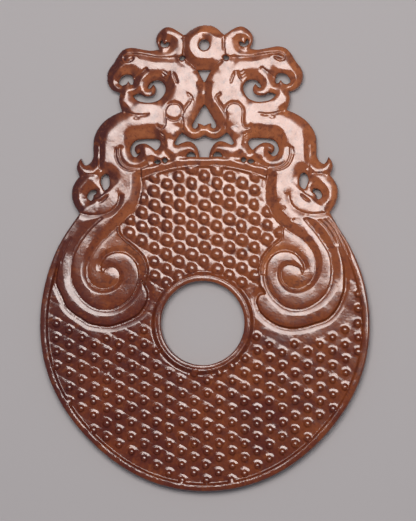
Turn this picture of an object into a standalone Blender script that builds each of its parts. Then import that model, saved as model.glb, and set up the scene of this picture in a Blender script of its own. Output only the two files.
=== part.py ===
"""Carved jade disc with a pierced crest of two phoenixes back to back.

One piece of stone, lying on its flat back with the carved face up.
Units are metres, +Z is up, +Y points from the disc to the crest.
"""
import math

import bmesh
import bpy

# Driving dimensions of the disc, in metres.
DISC_DIAMETER = 0.1352
THICKNESS = 0.0060
HOLE_DIAMETER = 0.0342
HOLE_OFF_CENTRE = (-0.0006, 0.0009)
RIM_WIDTH = 0.0029
BORDER_WIDTH = 0.0040
FIELD_DEPTH = 0.0013
EDGE_CHAMFER = 0.0008
EDGE_CHAMFER_DROP = 0.0011
GROOVE_WIDTH = 0.0012
FINE_GROOVE_WIDTH = 0.0008

# Driving dimensions of the grain bosses and of the hole that a cord goes through.
GRAIN_PITCH = 0.0058
GRAIN_ROW_GAP = 0.00515
GRAIN_DIAMETER = 0.0045
GRAIN_BELOW_FACE = 0.0001
GRAIN_MARGIN = 0.0020
GRAIN_SIDES = 6
CORD_HOLE_DIAMETER = 0.0044

# The free forms are drawn on a squared grid, as shares of the disc's radius.
# The first number is squares outwards from the mirror line, the second squares up from the disc's centre.
SQUARES_PER_RADIUS = 164.5
SQUARE = DISC_DIAMETER / 2 / SQUARES_PER_RADIUS
RING_TOP = 299.5
CORD_HOLE_UP = 278.6
UPPER_GRAIN_START = (0.0, 105.5)
LOWER_GRAIN_START = (2.5, -26.5)
ORIGIN_UP = (RING_TOP * SQUARE - DISC_DIAMETER / 2) / 2

# How finely the curves are cut into straight pieces.
ARC_STEP = 0.0060
CREST_STEP = 0.0027
OPENING_STEP = 0.0024
GROOVE_STEP = 0.0050
FINE_GROOVE_STEP = 0.0027
HOLE_SIDES = 36
CORD_HOLE_SIDES = 10
SMALL_OPENING_AREA = 0.00002
OVERLAP = 0.0006
WELD = 0.00001

# Angles in degrees from the +X side: where the crest meets the disc, and how far the two sunk fields reach
# along the rim and along the border of the hole.
SHOULDER_ANGLE = 36.0
UPPER_FIELD_ANGLE = 23.0
UPPER_BORDER_ANGLE = 22.0
LOWER_FIELD_ANGLE = 16.0
LOWER_BORDER_ANGLE = 6.0

# Places where the hand-cut edge of the disc leaves the circle.
# Each is an angle and a spread in degrees, then squares outwards.
EDGE_WANDER = (
    (145.0, 16.0, 1.8),
    (225.0, 22.0, -3.0),
    (317.0, 20.0, -2.2),
)

# Outline of one half of the crest, in smooth runs from the top of the ring down to the disc's shoulder.
CREST_RUNS = (
    ((0, RING_TOP), (7, 298.3), (13, 295), (17.5, 290.7), (20.3, 288.6)),
    ((26, 292.5), (32, 296), (38, 296.8), (43.5, 294), (47.5, 289), (48.7, 284), (47.5, 279.5),
     (45.5, 274.7)),
    ((54, 273.7), (64, 275.3), (73, 276.8), (81, 275), (86.5, 269.5), (91, 262), (96, 255.5), (98.2, 249),
     (97.5, 242), (93.5, 235.5), (89, 232.7), (84.7, 231.3)),
    ((85.5, 224.5), (84, 218), (82.5, 213.3)),
    ((91, 209.7), (100, 204), (107, 196), (111, 187), (111.8, 177), (111.8, 168), (115, 162),
     (119.2, 159.8), (121.9, 162.5), (123.7, 166.7)),
    ((126.7, 162.5), (128, 157), (126.5, 152.2), (125.3, 148.5)),
    ((129.5, 143), (132.5, 136), (132.7, 127), (129.8, 119), (125, 111.5)),
)

# Openings pierced through each half of the crest, each a closed list of smooth runs.
MOUTH_RUNS = (
    ((71.5, 228.5), (67, 224), (60, 222), (53, 221.8), (46, 224), (41, 229), (39, 235), (40.5, 240),
     (45, 243.5), (51, 243), (55, 240), (56.7, 236.2)),
    ((54.5, 236), (51, 239.8)),
    ((48.7, 236), (49.3, 231), (53.5, 228), (59.5, 228), (65.5, 230.5), (71.5, 228.5)),
)
LIP_RUNS = (
    ((71.5, 240), (71.2, 244.5), (73, 248.5), (77.5, 249.7), (82, 248.2), (85, 244.5), (85.7, 241),
     (82, 239)),
    ((78, 240.5), (76.3, 243.6)),
    ((74.5, 240.5), (71.5, 240)),
)
CURL_EYE_RUNS = (
    ((42.5, 284), (44.3, 282), (43.7, 278.5), (40.5, 276.7), (36.5, 277.5), (34.8, 281), (37.5, 281.4)),
    ((40.7, 279.2),),
    ((42.5, 284),),
)
BROW_HOLE_RUNS = (
    ((18.9, 266.6), (21.5, 268.2), (24.8, 265.8), (23.5, 263.4), (20.2, 263.8), (18.9, 266.6)),
)
LOOP_RUNS = (
    ((48.4, 174), (45.2, 177.5), (44, 181.5), (46.5, 185.1), (54, 185.4), (62, 185.2), (68.5, 184),
     (72.5, 180), (74.2, 174), (72, 169), (68.5, 167.7), (65.5, 170.2), (63.5, 173)),
    ((67.1, 170.2),),
    ((69.4, 173.5), (69.5, 177.5), (67, 180), (63, 181.2), (58, 180.8), (53.5, 178), (48.4, 174)),
)
SIDE_OVAL_RUNS = (
    ((103.8, 143), (103, 147.5), (99.5, 150.7), (96, 149), (94.8, 144), (95.2, 138.5), (98, 135.5),
     (100.2, 134.7), (102.5, 138.5), (103.8, 143)),
)
LOWER_EYE_RUNS = (
    ((113.5, 124.3), (117.2, 127), (116.3, 131.2), (113, 134.5), (109, 134.7), (108.2, 132), (111, 129.5),
     (111.7, 126), (113.5, 124.3)),
)
CLAW_RUNS = (
    ((18, 167.5), (16.5, 170.5), (13, 172), (9.8, 170.5), (8.8, 167.5)),
    ((18, 167.5),),
)
TWIN_OUTER_RUNS = (
    ((50.4, 162.3), (47, 164.6), (43.6, 162.8), (46.5, 160.3), (50.4, 162.3)),
)
TWIN_INNER_RUNS = (
    ((42.3, 164.3), (39.5, 166.6), (36.8, 164.3), (39.2, 161.4), (42.3, 164.3)),
)
PAIRED_OPENINGS = (
    MOUTH_RUNS,
    LIP_RUNS,
    CURL_EYE_RUNS,
    BROW_HOLE_RUNS,
    LOOP_RUNS,
    SIDE_OVAL_RUNS,
    LOWER_EYE_RUNS,
    CLAW_RUNS,
    TWIN_OUTER_RUNS,
    TWIN_INNER_RUNS,
)

# Openings on the mirror line, each given by its runs on one side, from its top down.
THROAT_HALF = (
    ((0, 253.5), (6.8, 253.5)),
    ((0.8, 242.3), (0, 242)),
)
PLUME_HALF = (
    ((0, 219.5), (2.5, 216), (6, 210), (9, 205), (11.8, 199), (10.6, 196), (8.2, 196), (6.4, 198.3),
     (6.8, 201)),
    ((3.5, 200.2), (0, 198.5)),
)
FEET_HALF = (
    ((0, 188.8), (4, 186.5), (8, 185.3), (13, 185.5), (18, 188), (22, 191.2)),
    ((24.5, 189.5), (27.5, 185), (29.5, 181), (27.5, 179.2), (23, 181), (17, 183), (11.5, 181.5),
     (7.3, 176.5), (5.2, 171), (4.8, 167.2)),
    ((0, 167.2),),
)
MIDDLE_OPENINGS = (THROAT_HALF, PLUME_HALF, FEET_HALF)

# Carved lines of one half, from the body that runs out of the crest to the volute on the disc.
VOLUTE_INNER_LINE = (
    (62.5, 148), (62.5, 135), (65, 122), (71, 112), (83, 101), (94, 91), (104, 82), (111, 72), (115.5, 62),
    (116.8, 52), (114.5, 44), (109, 38.5), (101, 36), (92, 38), (86, 43), (84.3, 50), (87, 56), (92, 58.3),
    (97.5, 57), (100.5, 53),
)
VOLUTE_OUTER_LINE = (
    (99, 109), (106, 103.5), (114, 96), (122, 86), (128, 76), (131.3, 66), (132.3, 55), (131, 42),
    (126, 32), (118, 23), (109, 17.5), (98, 15.5), (88, 17.5), (78, 23), (70.5, 31), (66, 41), (64.5, 51),
    (67, 61), (73.5, 69), (82, 73), (91, 72.5), (98.5, 68.5), (102.8, 61), (102.5, 54),
)
TAIL_LINE = (
    (112, 106), (120, 99), (128, 89), (134.5, 77), (138.7, 63), (140, 50), (139.3, 37), (136, 25),
    (129, 12.5), (119, 4), (107, 0), (94, -1.5), (82, 1), (70.5, 6.5), (61.5, 14.5), (56.5, 24), (56, 33),
    (60, 41),
)
BROW_LINE = (
    (24.5, 266.8), (34, 266.4), (46, 266.5), (54, 268), (62, 269.4), (69, 270.2), (76, 270.3),
    (80.5, 267.5), (80, 263.5), (75, 262.6), (69, 266.5),
)
JAW_LINE = ((81.5, 212.8), (76, 211.8), (70, 210), (64, 209.3), (58, 209.9), (53, 211.2))
EAR_LINE = (
    (22.5, 209), (22, 214), (25, 219), (30, 220.6), (35.5, 218.8), (38.8, 213), (38.3, 205), (39, 198.5),
    (42.5, 195.3), (46.5, 197.3), (48, 201.5),
)
LOOP_LINE = ((84.5, 180), (85, 171.5), (82.5, 163), (77, 158), (70, 156), (62, 156.6), (54, 159.8))
NECK_LINE = ((104.5, 181), (105, 167), (104.4, 152.5))
FIN_LINE = ((124, 148.8), (117, 150.3), (110, 150.6), (104.8, 151.2))
LOWER_CURL_LINE = (
    (85, 132), (85.3, 125), (88.5, 118), (96, 112.5), (106, 110), (116, 110.3), (124.3, 112.3),
)
PLUME_LINE = ((11.5, 228.5), (13.8, 221.5), (18.5, 215), (21.8, 207.5), (20.6, 200), (21.8, 192.5))
RING_LINE = ((20.6, 287.0), (20.2, 278), (21.5, 269))
THROAT_LINE = ((19.5, 264.5), (13.5, 259.5), (7.5, 254))
MIDDLE_LINE = ((0.3, 243.2), (0.2, 231), (0.3, 218.4))
SNOUT_LINE = ((56.5, 257), (62, 252.5), (67.5, 248), (71, 244.5))
BROAD_LINES = (VOLUTE_INNER_LINE, VOLUTE_OUTER_LINE, TAIL_LINE)
FINE_LINES = (
    BROW_LINE,
    JAW_LINE,
    EAR_LINE,
    LOOP_LINE,
    NECK_LINE,
    FIN_LINE,
    LOWER_CURL_LINE,
    PLUME_LINE,
    RING_LINE,
    THROAT_LINE,
    SNOUT_LINE,
)

# Sides of the two sunk fields that hold the grain, between the rim and the border of the hole.
UPPER_FIELD_SIDE = (
    (60, 140), (60.3, 132), (62.5, 122), (68.5, 110.5), (79, 100.5), (85.5, 93.5), (81, 86), (73, 79.5),
    (65, 73.5), (58.5, 66), (54.5, 56), (52.3, 46), (50.5, 36),
)
LOWER_FIELD_SIDE = (
    (147, 38), (142.5, 27), (137.5, 16.5), (130, 7), (120, -0.5), (109, -5), (97, -7), (85, -5.5), (74, -1),
    (65.5, 3.5), (60.5, 7),
)


def place(across, up):
    """Turn a place on the squared grid into metres in the part's frame."""
    return across * SQUARE, up * SQUARE - ORIGIN_UP


def mirrored(points):
    """The same points on the other side of the mirror line, in reverse order."""
    return [(-x, y) for x, y in reversed(points)]


def between(before, start, end, after, t):
    """The place at share t of the way from start to end on a smooth curve through four points."""
    weights = (
        -t ** 3 + 2 * t ** 2 - t,
        3 * t ** 3 - 5 * t ** 2 + 2,
        -3 * t ** 3 + 4 * t ** 2 + t,
        t ** 3 - t ** 2,
    )
    corners = (before, start, end, after)
    return tuple(sum(w * c[axis] for w, c in zip(weights, corners)) / 2 for axis in (0, 1))


def smooth_run(points, step):
    """A smooth curve through the points, cut into straight pieces of about one step."""
    if len(points) < 3:
        return list(points)
    padded = [points[0], *points, points[-1]]
    result = [points[0]]
    for corners in zip(padded, padded[1:], padded[2:], padded[3:]):
        pieces = max(1, round(math.dist(corners[1], corners[2]) / step))
        result += [between(*corners, piece / pieces) for piece in range(1, pieces + 1)]
    return result


def chain(runs, step):
    """Join smooth runs end to end, each starting where the one before stops, with a corner between them."""
    placed = [[place(*point) for point in run] for run in runs]
    result = smooth_run(placed[0], step)
    for run in placed[1:]:
        result += smooth_run([result[-1], *run], step)[1:]
    return result


def closed_loop(runs, step):
    """The corner points of a closed outline, with its first point not repeated."""
    return chain(runs, step)[:-1]


def middle_loop(half, step):
    """A closed outline made of one half and its mirror image."""
    side = chain(half, step)
    return side + mirrored(side)[1:-1]


def circle(diameter, sides, centre):
    """The corners of a regular polygon round a centre, with one at its right."""
    turns = [2 * math.pi * side / sides for side in range(sides)]
    return [(centre[0] + diameter / 2 * math.cos(t), centre[1] + diameter / 2 * math.sin(t)) for t in turns]


def edge_radius(angle):
    """Radius of the disc's hand-cut edge at an angle in degrees from the +X side."""
    radius = DISC_DIAMETER / 2
    for middle, spread, squares in EDGE_WANDER:
        radius += squares * SQUARE * math.exp(-((angle - middle) / spread) ** 2)
    return radius


def disc_arc(first, last, inset, step):
    """Points along the disc's edge, or a margin inside it, between two angles in degrees."""
    pieces = max(4, 4 * round(math.radians(abs(last - first)) * DISC_DIAMETER / 2 / step / 4))
    angles = [first + (last - first) * piece / pieces for piece in range(pieces + 1)]
    centre_y = -ORIGIN_UP
    return [
        ((edge_radius(a) - inset) * math.cos(math.radians(a)),
         centre_y + (edge_radius(a) - inset) * math.sin(math.radians(a)))
        for a in angles
    ]


def hole_centre():
    """Centre of the disc's hole, which was drilled a little off the middle."""
    return HOLE_OFF_CENTRE[0], HOLE_OFF_CENTRE[1] - ORIGIN_UP


def silhouette():
    """The whole outline: from the ring's top down the left side, round the disc and up the right side."""
    half = chain(CREST_RUNS, CREST_STEP)
    left = [(-x, y) for x, y in half]
    right = list(reversed(half))
    arc = disc_arc(180 - SHOULDER_ANGLE, 360 + SHOULDER_ANGLE, 0.0, ARC_STEP)
    return left + arc + right[:-1]


def openings():
    """Every outline that is pierced right through the stone."""
    loops = []
    for runs in PAIRED_OPENINGS:
        loop = closed_loop(runs, OPENING_STEP)
        loops += [loop, mirrored(loop)]
    loops += [middle_loop(half, OPENING_STEP) for half in MIDDLE_OPENINGS]
    loops.append(circle(HOLE_DIAMETER, HOLE_SIDES, hole_centre()))
    loops.append(circle(CORD_HOLE_DIAMETER, CORD_HOLE_SIDES, place(0, CORD_HOLE_UP)))
    return loops


def signed_area(loop):
    """Area inside a closed outline, positive where it runs anticlockwise."""
    return sum(x1 * y2 - x2 * y1 for (x1, y1), (x2, y2) in zip(loop, loop[1:] + loop[:1])) / 2


def moved_into_stone(loop, margin, is_hole):
    """The same outline moved by a margin into the stone, point by point along the mean normal."""
    turn = 1.0 if (signed_area(loop) > 0) != is_hole else -1.0
    result = []
    for before, here, after in zip(loop[-1:] + loop[:-1], loop, loop[1:] + loop[:1]):
        along = (after[0] - before[0], after[1] - before[1])
        shift = turn * margin / (math.hypot(*along) or 1.0)
        result.append((here[0] - along[1] * shift, here[1] + along[0] * shift))
    return result


def ring_of_edges(bm, loop, height):
    """Add a closed outline at one height and return its vertices and edges."""
    verts = [bm.verts.new((x, y, height)) for x, y in loop]
    edges = [bm.edges.new((a, b)) for a, b in zip(verts, verts[1:] + verts[:1])]
    return verts, edges


def wall_between(bm, low, high):
    """Faces between two outlines with the same number of points."""
    for a, b, c, d in zip(low, low[1:] + low[:1], high[1:] + high[:1], high):
        bm.faces.new((a, b, c, d))


def finish_mesh(bm, name):
    """Turn the faces outwards, cut them into triangles and make an object of the mesh."""
    bmesh.ops.recalc_face_normals(bm, faces=bm.faces)
    bmesh.ops.triangulate(bm, faces=bm.faces)
    mesh = bpy.data.meshes.new(name)
    bm.to_mesh(mesh)
    bm.free()
    made = bpy.data.objects.new(name, mesh)
    bpy.context.collection.objects.link(made)
    return made


def chamfered_plate(name, loops):
    """A flat plate with openings, its upper edges chamfered; the first loop is the outside."""
    bm = bmesh.new()
    bottom_edges = []
    top_edges = []
    for index, loop in enumerate(loops):
        low, low_edges = ring_of_edges(bm, loop, 0.0)
        if abs(signed_area(loop)) < SMALL_OPENING_AREA:
            top, rim_edges = ring_of_edges(bm, loop, THICKNESS)
            wall_between(bm, low, top)
        else:
            side, _ = ring_of_edges(bm, loop, THICKNESS - EDGE_CHAMFER_DROP)
            top, rim_edges = ring_of_edges(bm, moved_into_stone(loop, EDGE_CHAMFER, index > 0), THICKNESS)
            wall_between(bm, low, side)
            wall_between(bm, side, top)
        bottom_edges += low_edges
        top_edges += rim_edges
    bmesh.ops.triangle_fill(bm, use_beauty=True, use_dissolve=False, edges=bottom_edges)
    bmesh.ops.triangle_fill(bm, use_beauty=True, use_dissolve=False, edges=top_edges)
    return finish_mesh(bm, name)


def prism(name, loop, bottom, top):
    """A closed prism on an outline between two heights."""
    bm = bmesh.new()
    low, low_edges = ring_of_edges(bm, loop, bottom)
    high, high_edges = ring_of_edges(bm, loop, top)
    wall_between(bm, low, high)
    bmesh.ops.triangle_fill(bm, use_beauty=True, use_dissolve=False, edges=low_edges)
    bmesh.ops.triangle_fill(bm, use_beauty=True, use_dissolve=False, edges=high_edges)
    return finish_mesh(bm, name)


def border_arc(first, last):
    """Points on the outer edge of the hole's border between two angles in degrees."""
    radius = HOLE_DIAMETER / 2 + BORDER_WIDTH
    pieces = max(4, round(math.radians(abs(last - first)) * radius / GROOVE_STEP))
    centre = hole_centre()
    turns = [math.radians(first + (last - first) * piece / pieces) for piece in range(pieces + 1)]
    return [(centre[0] + radius * math.cos(t), centre[1] + radius * math.sin(t)) for t in turns]


def upper_field():
    """Outline of the grain field between the two bodies, above the hole."""
    right = smooth_run([place(*point) for point in UPPER_FIELD_SIDE], GROOVE_STEP)
    left = mirrored(right)
    top = disc_arc(90 + UPPER_FIELD_ANGLE, 90 - UPPER_FIELD_ANGLE, RIM_WIDTH, ARC_STEP)
    bottom = border_arc(UPPER_BORDER_ANGLE, 180 - UPPER_BORDER_ANGLE)
    return right + bottom + left + top


def lower_field():
    """Outline of the grain field below the volutes, round the lower half of the hole."""
    right = smooth_run([place(*point) for point in LOWER_FIELD_SIDE], GROOVE_STEP)
    left = mirrored(right)
    outside = disc_arc(180 - LOWER_FIELD_ANGLE, 360 + LOWER_FIELD_ANGLE, RIM_WIDTH, ARC_STEP)
    inside = border_arc(LOWER_BORDER_ANGLE, -180 - LOWER_BORDER_ANGLE)
    return right + inside + left + outside


def is_inside(point, loop):
    """Whether a point is inside a closed outline."""
    x, y = point
    inside = False
    for (x1, y1), (x2, y2) in zip(loop, loop[1:] + loop[:1]):
        if (y1 > y) != (y2 > y) and x < (x2 - x1) * (y - y1) / (y2 - y1) + x1:
            inside = not inside
    return inside


def distance_to_loop(point, loop):
    """Distance from a point to the nearest place on a closed outline."""
    nearest = math.inf
    for (x1, y1), (x2, y2) in zip(loop, loop[1:] + loop[:1]):
        run = (x2 - x1, y2 - y1)
        t = ((point[0] - x1) * run[0] + (point[1] - y1) * run[1]) / (run[0] ** 2 + run[1] ** 2)
        t = min(1.0, max(0.0, t))
        nearest = min(nearest, math.dist(point, (x1 + t * run[0], y1 + t * run[1])))
    return nearest


def grain_places(field, start):
    """Centres of the grain bosses in a field: upright rows, every second one half a pitch lower."""
    start_x, start_y = place(*start)
    columns = math.ceil(DISC_DIAMETER / GRAIN_ROW_GAP)
    steps = math.ceil(DISC_DIAMETER / GRAIN_PITCH)
    places = []
    for column in range(-columns, columns + 1):
        for step in range(-steps, steps + 1):
            centre = (start_x + column * GRAIN_ROW_GAP, start_y + (step + 0.5 * (column % 2)) * GRAIN_PITCH)
            if is_inside(centre, field) and distance_to_loop(centre, field) > GRAIN_MARGIN:
                places.append(centre)
    return places


def grain_bosses(name, places):
    """Low pointed bosses standing in the fields, as one cluster."""
    bm = bmesh.new()
    showing = FIELD_DEPTH - GRAIN_BELOW_FACE
    height = showing + OVERLAP
    base = THICKNESS - GRAIN_BELOW_FACE - height
    widened = GRAIN_DIAMETER / 2 * height / showing
    for x, y in places:
        cone = bmesh.ops.create_cone(bm, cap_ends=True, cap_tris=False, segments=GRAIN_SIDES,
                                     radius1=widened, radius2=0.0, depth=height)
        bmesh.ops.translate(bm, verts=cone["verts"], vec=(x, y, base + height / 2))
    return finish_mesh(bm, name)


def groove_cutter(name, points, width, step):
    """A square rod set on its corner along a line at the top face, which leaves a V groove."""
    line = smooth_run([place(*point) for point in points], step)
    curve = bpy.data.curves.new(name, "CURVE")
    curve.dimensions = "3D"
    curve.bevel_depth = width / 2
    curve.bevel_resolution = 0
    curve.use_fill_caps = True
    spline = curve.splines.new("POLY")
    spline.points.add(len(line) - 1)
    for target, (x, y) in zip(spline.points, line):
        target.co = (x, y, THICKNESS, 1.0)
    rod = bpy.data.objects.new(name, curve)
    bpy.context.collection.objects.link(rod)
    bpy.context.view_layer.update()
    graph = bpy.context.evaluated_depsgraph_get()
    mesh = bpy.data.meshes.new_from_object(rod.evaluated_get(graph))
    bpy.data.objects.remove(rod)
    bm = bmesh.new()
    bm.from_mesh(mesh)
    bpy.data.meshes.remove(mesh)
    bmesh.ops.remove_doubles(bm, verts=bm.verts, dist=WELD)
    return finish_mesh(bm, name)


def mirror_object(source, name):
    """A copy of a cutter on the other side of the mirror line, facing outwards."""
    bm = bmesh.new()
    bm.from_mesh(source.data)
    bmesh.ops.scale(bm, vec=(-1.0, 1.0, 1.0), verts=bm.verts)
    bmesh.ops.reverse_faces(bm, faces=bm.faces)
    return finish_mesh(bm, name)


def as_guide(guide):
    """Mark an object as a tool that shapes the stone and isn't part of it."""
    guide.hide_render = True
    guide.display_type = "WIRE"


def shape_with(body, tool, operation):
    """Cut a tool out of the body, or join it on."""
    as_guide(tool)
    modifier = body.modifiers.new(tool.name, "BOOLEAN")
    modifier.operation = operation
    modifier.solver = "EXACT"
    modifier.object = tool


def jade():
    """Polished russet jade."""
    material = bpy.data.materials.new("russet_jade")
    material.use_nodes = True
    shader = material.node_tree.nodes["Principled BSDF"]
    shader.inputs["Base Color"].default_value = (0.184, 0.052, 0.022, 1.0)
    shader.inputs["Roughness"].default_value = 0.18
    shader.inputs["Metallic"].default_value = 0.0
    return material


def build():
    """Make the carving."""
    body = chamfered_plate("phoenix_bi", [silhouette(), *openings()])
    body.data.materials.append(jade())
    fields = {
        "upper_field": (upper_field(), UPPER_GRAIN_START),
        "lower_field": (lower_field(), LOWER_GRAIN_START),
    }
    for name, (field, _) in fields.items():
        sunk = prism(name, field, THICKNESS - FIELD_DEPTH, THICKNESS + OVERLAP)
        shape_with(body, sunk, "DIFFERENCE")
    grooves = {
        "broad_groove": (BROAD_LINES, GROOVE_WIDTH, GROOVE_STEP),
        "fine_groove": (FINE_LINES, FINE_GROOVE_WIDTH, FINE_GROOVE_STEP),
    }
    for name, (lines, width, step) in grooves.items():
        for index, line in enumerate(lines):
            right = groove_cutter(f"{name}_{index}_right", line, width, step)
            left = mirror_object(right, f"{name}_{index}_left")
            shape_with(body, right, "DIFFERENCE")
            shape_with(body, left, "DIFFERENCE")
    middle = groove_cutter("middle_groove", MIDDLE_LINE, GROOVE_WIDTH, FINE_GROOVE_STEP)
    shape_with(body, middle, "DIFFERENCE")
    for name, (field, start) in fields.items():
        bosses = grain_bosses(name + "_grain", grain_places(field, start))
        shape_with(body, bosses, "UNION")


for old in list(bpy.data.objects):
    bpy.data.objects.remove(old)
build()
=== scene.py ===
"""Looks of a carved jade disc with a pierced crest of two phoenixes back to back.

The stone's whole relief is pressed into one fine map of heights: slanted cuts, engraved lines, sunk fields
of grain bosses, the rim and the border of the hole. A sheet of small squares is fitted to the outline, given
its thickness, and lifted to those heights. Units are metres, +Z is up, +Y points from the disc to the crest.
"""
import itertools
import logging
import math
from collections.abc import Iterable, Sequence
from dataclasses import dataclass, field
from enum import Enum
from typing import Any

import bmesh
import bpy
import numpy as np
from mathutils import Matrix, Vector


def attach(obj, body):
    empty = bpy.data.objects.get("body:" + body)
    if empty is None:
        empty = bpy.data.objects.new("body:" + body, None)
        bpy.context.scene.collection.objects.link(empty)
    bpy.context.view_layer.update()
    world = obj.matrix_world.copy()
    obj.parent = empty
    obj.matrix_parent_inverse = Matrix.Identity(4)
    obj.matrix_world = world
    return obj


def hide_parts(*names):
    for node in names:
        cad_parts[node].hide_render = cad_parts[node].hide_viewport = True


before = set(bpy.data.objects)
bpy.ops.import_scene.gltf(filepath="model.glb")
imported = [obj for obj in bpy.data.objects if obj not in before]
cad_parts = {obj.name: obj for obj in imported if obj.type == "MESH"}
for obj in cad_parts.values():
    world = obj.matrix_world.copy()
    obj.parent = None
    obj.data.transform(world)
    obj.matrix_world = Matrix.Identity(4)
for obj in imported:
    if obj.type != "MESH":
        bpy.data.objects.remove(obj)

log = logging.getLogger("jade_carving")

Point = tuple[float, float]
Run = tuple[Point, ...]
Array = np.ndarray
Colour = tuple[float, float, float]
Pattern = tuple[float, float, float]
Span = tuple[float, ...]
Tree = bpy.types.NodeTree

BODY = "root"
NODE = "phoenix_bi"
# Stored values: where light is painted on cut slopes, and where shade is painted on slopes that face -X.
LIT_SLOPES = "lit_slopes"
PAINTED_SHADE = "lee"
ON_OUTLINE = "on_outline"

CORD_HOLE_UP = 278.6
CORD_HOLE_DIAMETER = 0.0044
# A line through fewer places than this stays straight.
FEWEST_FOR_CURVE = 3
# Keeps places on the map's far edges within its last squares.
WITHIN_EDGE = 1.001

# Outline of one half of the crest, in smooth runs from the top of the ring down to the disc's shoulder.
CREST_RUNS = (
    ((0, 299.5), (7, 298.3), (13, 295), (17.5, 290.7), (20.3, 288.6)),
    ((26, 292.5), (32, 296), (38, 296.8), (43.5, 294), (47.5, 289), (48.7, 284), (47.5, 279.5),
     (45.5, 274.7)),
    ((54, 273.7), (64, 275.3), (73, 276.8), (81, 275), (86.5, 269.5), (91, 262), (96, 255.5), (98.2, 249),
     (97.5, 242), (93.5, 235.5), (89, 232.7), (84.7, 231.3)),
    ((85.5, 224.5), (84, 218), (82.5, 213.3)),
    ((91, 209.7), (100, 204), (107, 196), (111, 187), (111.8, 177), (111.8, 168), (115, 162),
     (119.2, 159.8), (121.9, 162.5), (123.7, 166.7)),
    ((126.7, 162.5), (128, 157), (126.5, 152.2), (125.3, 148.5)),
    ((129.5, 143), (132.5, 136), (132.7, 127), (129.8, 119), (125, 111.5)),
)

# Openings pierced through each half of the crest, each a closed list of smooth runs.
MOUTH_RUNS = (
    ((71.5, 228.5), (67, 224), (60, 222), (53, 221.8), (46, 224), (41, 229), (39, 235), (40.5, 240),
     (45, 243.5), (51, 243), (55, 240), (56.7, 236.2)),
    ((54.5, 236), (51, 239.8)),
    ((48.7, 236), (49.3, 231), (53.5, 228), (59.5, 228), (65.5, 230.5), (71.5, 228.5)),
)
LIP_RUNS = (
    ((71.5, 240), (71.2, 244.5), (73, 248.5), (77.5, 249.7), (82, 248.2), (85, 244.5), (85.7, 241),
     (82, 239)),
    ((78, 240.5), (76.3, 243.6)),
    ((74.5, 240.5), (71.5, 240)),
)
CURL_EYE_RUNS = (
    ((42.5, 284), (44.3, 282), (43.7, 278.5), (40.5, 276.7), (36.5, 277.5), (34.8, 281), (37.5, 281.4)),
    ((40.7, 279.2),),
    ((42.5, 284),),
)
BROW_HOLE_RUNS = (
    ((18.9, 266.6), (21.5, 268.2), (24.8, 265.8), (23.5, 263.4), (20.2, 263.8), (18.9, 266.6)),
)
LOOP_RUNS = (
    ((48.4, 174), (45.2, 177.5), (44, 181.5), (46.5, 185.1), (54, 185.4), (62, 185.2), (68.5, 184),
     (72.5, 180), (74.2, 174), (72, 169), (68.5, 167.7), (65.5, 170.2), (63.5, 173)),
    ((67.1, 170.2),),
    ((69.4, 173.5), (69.5, 177.5), (67, 180), (63, 181.2), (58, 180.8), (53.5, 178), (48.4, 174)),
)
SIDE_OVAL_RUNS = (
    ((103.8, 143), (103, 147.5), (99.5, 150.7), (96, 149), (94.8, 144), (95.2, 138.5), (98, 135.5),
     (100.2, 134.7), (102.5, 138.5), (103.8, 143)),
)
LOWER_EYE_RUNS = (
    ((113.5, 124.3), (117.2, 127), (116.3, 131.2), (113, 134.5), (109, 134.7), (108.2, 132), (111, 129.5),
     (111.7, 126), (113.5, 124.3)),
)
CLAW_RUNS = (
    ((18, 167.5), (16.5, 170.5), (13, 172), (9.8, 170.5), (8.8, 167.5)),
    ((18, 167.5),),
)
TWIN_OUTER_RUNS = (
    ((50.4, 162.3), (47, 164.6), (43.6, 162.8), (46.5, 160.3), (50.4, 162.3)),
)
TWIN_INNER_RUNS = (
    ((42.3, 164.3), (39.5, 166.6), (36.8, 164.3), (39.2, 161.4), (42.3, 164.3)),
)
PAIRED_OPENINGS = (
    MOUTH_RUNS, LIP_RUNS, CURL_EYE_RUNS, BROW_HOLE_RUNS, LOOP_RUNS, SIDE_OVAL_RUNS, LOWER_EYE_RUNS, CLAW_RUNS,
    TWIN_OUTER_RUNS, TWIN_INNER_RUNS,
)

# Openings on the mirror line, each given by its runs on one side, from its top down.
THROAT_HALF = (
    ((0, 253.5), (6.8, 253.5)),
    ((0.8, 242.3), (0, 242)),
)
PLUME_HALF = (
    ((0, 219.5), (2.5, 216), (6, 210), (9, 205), (11.8, 199), (10.6, 196), (8.2, 196), (6.4, 198.3),
     (6.8, 201)),
    ((3.5, 200.2), (0, 198.5)),
)
FEET_HALF = (
    ((0, 188.8), (4, 186.5), (8, 185.3), (13, 185.5), (18, 188), (22, 191.2)),
    ((24.5, 189.5), (27.5, 185), (29.5, 181), (27.5, 179.2), (23, 181), (17, 183), (11.5, 181.5),
     (7.3, 176.5), (5.2, 171), (4.8, 167.2)),
    ((0, 167.2),),
)
MIDDLE_OPENINGS = (THROAT_HALF, PLUME_HALF, FEET_HALF)

# Carved lines of one half of the crest.
BROW_LINE = (
    (24.5, 266.8), (34, 266.4), (46, 266.5), (54, 268), (62, 269.4), (69, 270.2), (76, 270.3),
    (80.5, 267.5), (80, 263.5), (75, 262.6), (69, 266.5),
)
JAW_LINE = ((81.5, 212.8), (76, 211.8), (70, 210), (64, 209.3), (58, 209.9), (53, 211.2))
EAR_LINE = (
    (22.5, 209), (22, 214), (25, 219), (30, 220.6), (35.5, 218.8), (38.8, 213), (38.3, 205), (39, 198.5),
    (42.5, 195.3), (46.5, 197.3), (48, 201.5),
)
LOOP_LINE = ((84.5, 180), (85, 171.5), (82.5, 163), (77, 158), (70, 156), (62, 156.6), (54, 159.8))
NECK_LINE = ((104.5, 181), (105, 167), (104.4, 152.5))
FIN_LINE = ((124, 148.8), (117, 150.3), (110, 150.6), (104.8, 151.2))
LOWER_CURL_LINE = (
    (85, 132), (85.3, 125), (88.5, 118), (96, 112.5), (106, 110), (116, 110.3), (124.3, 112.3),
)
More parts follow.
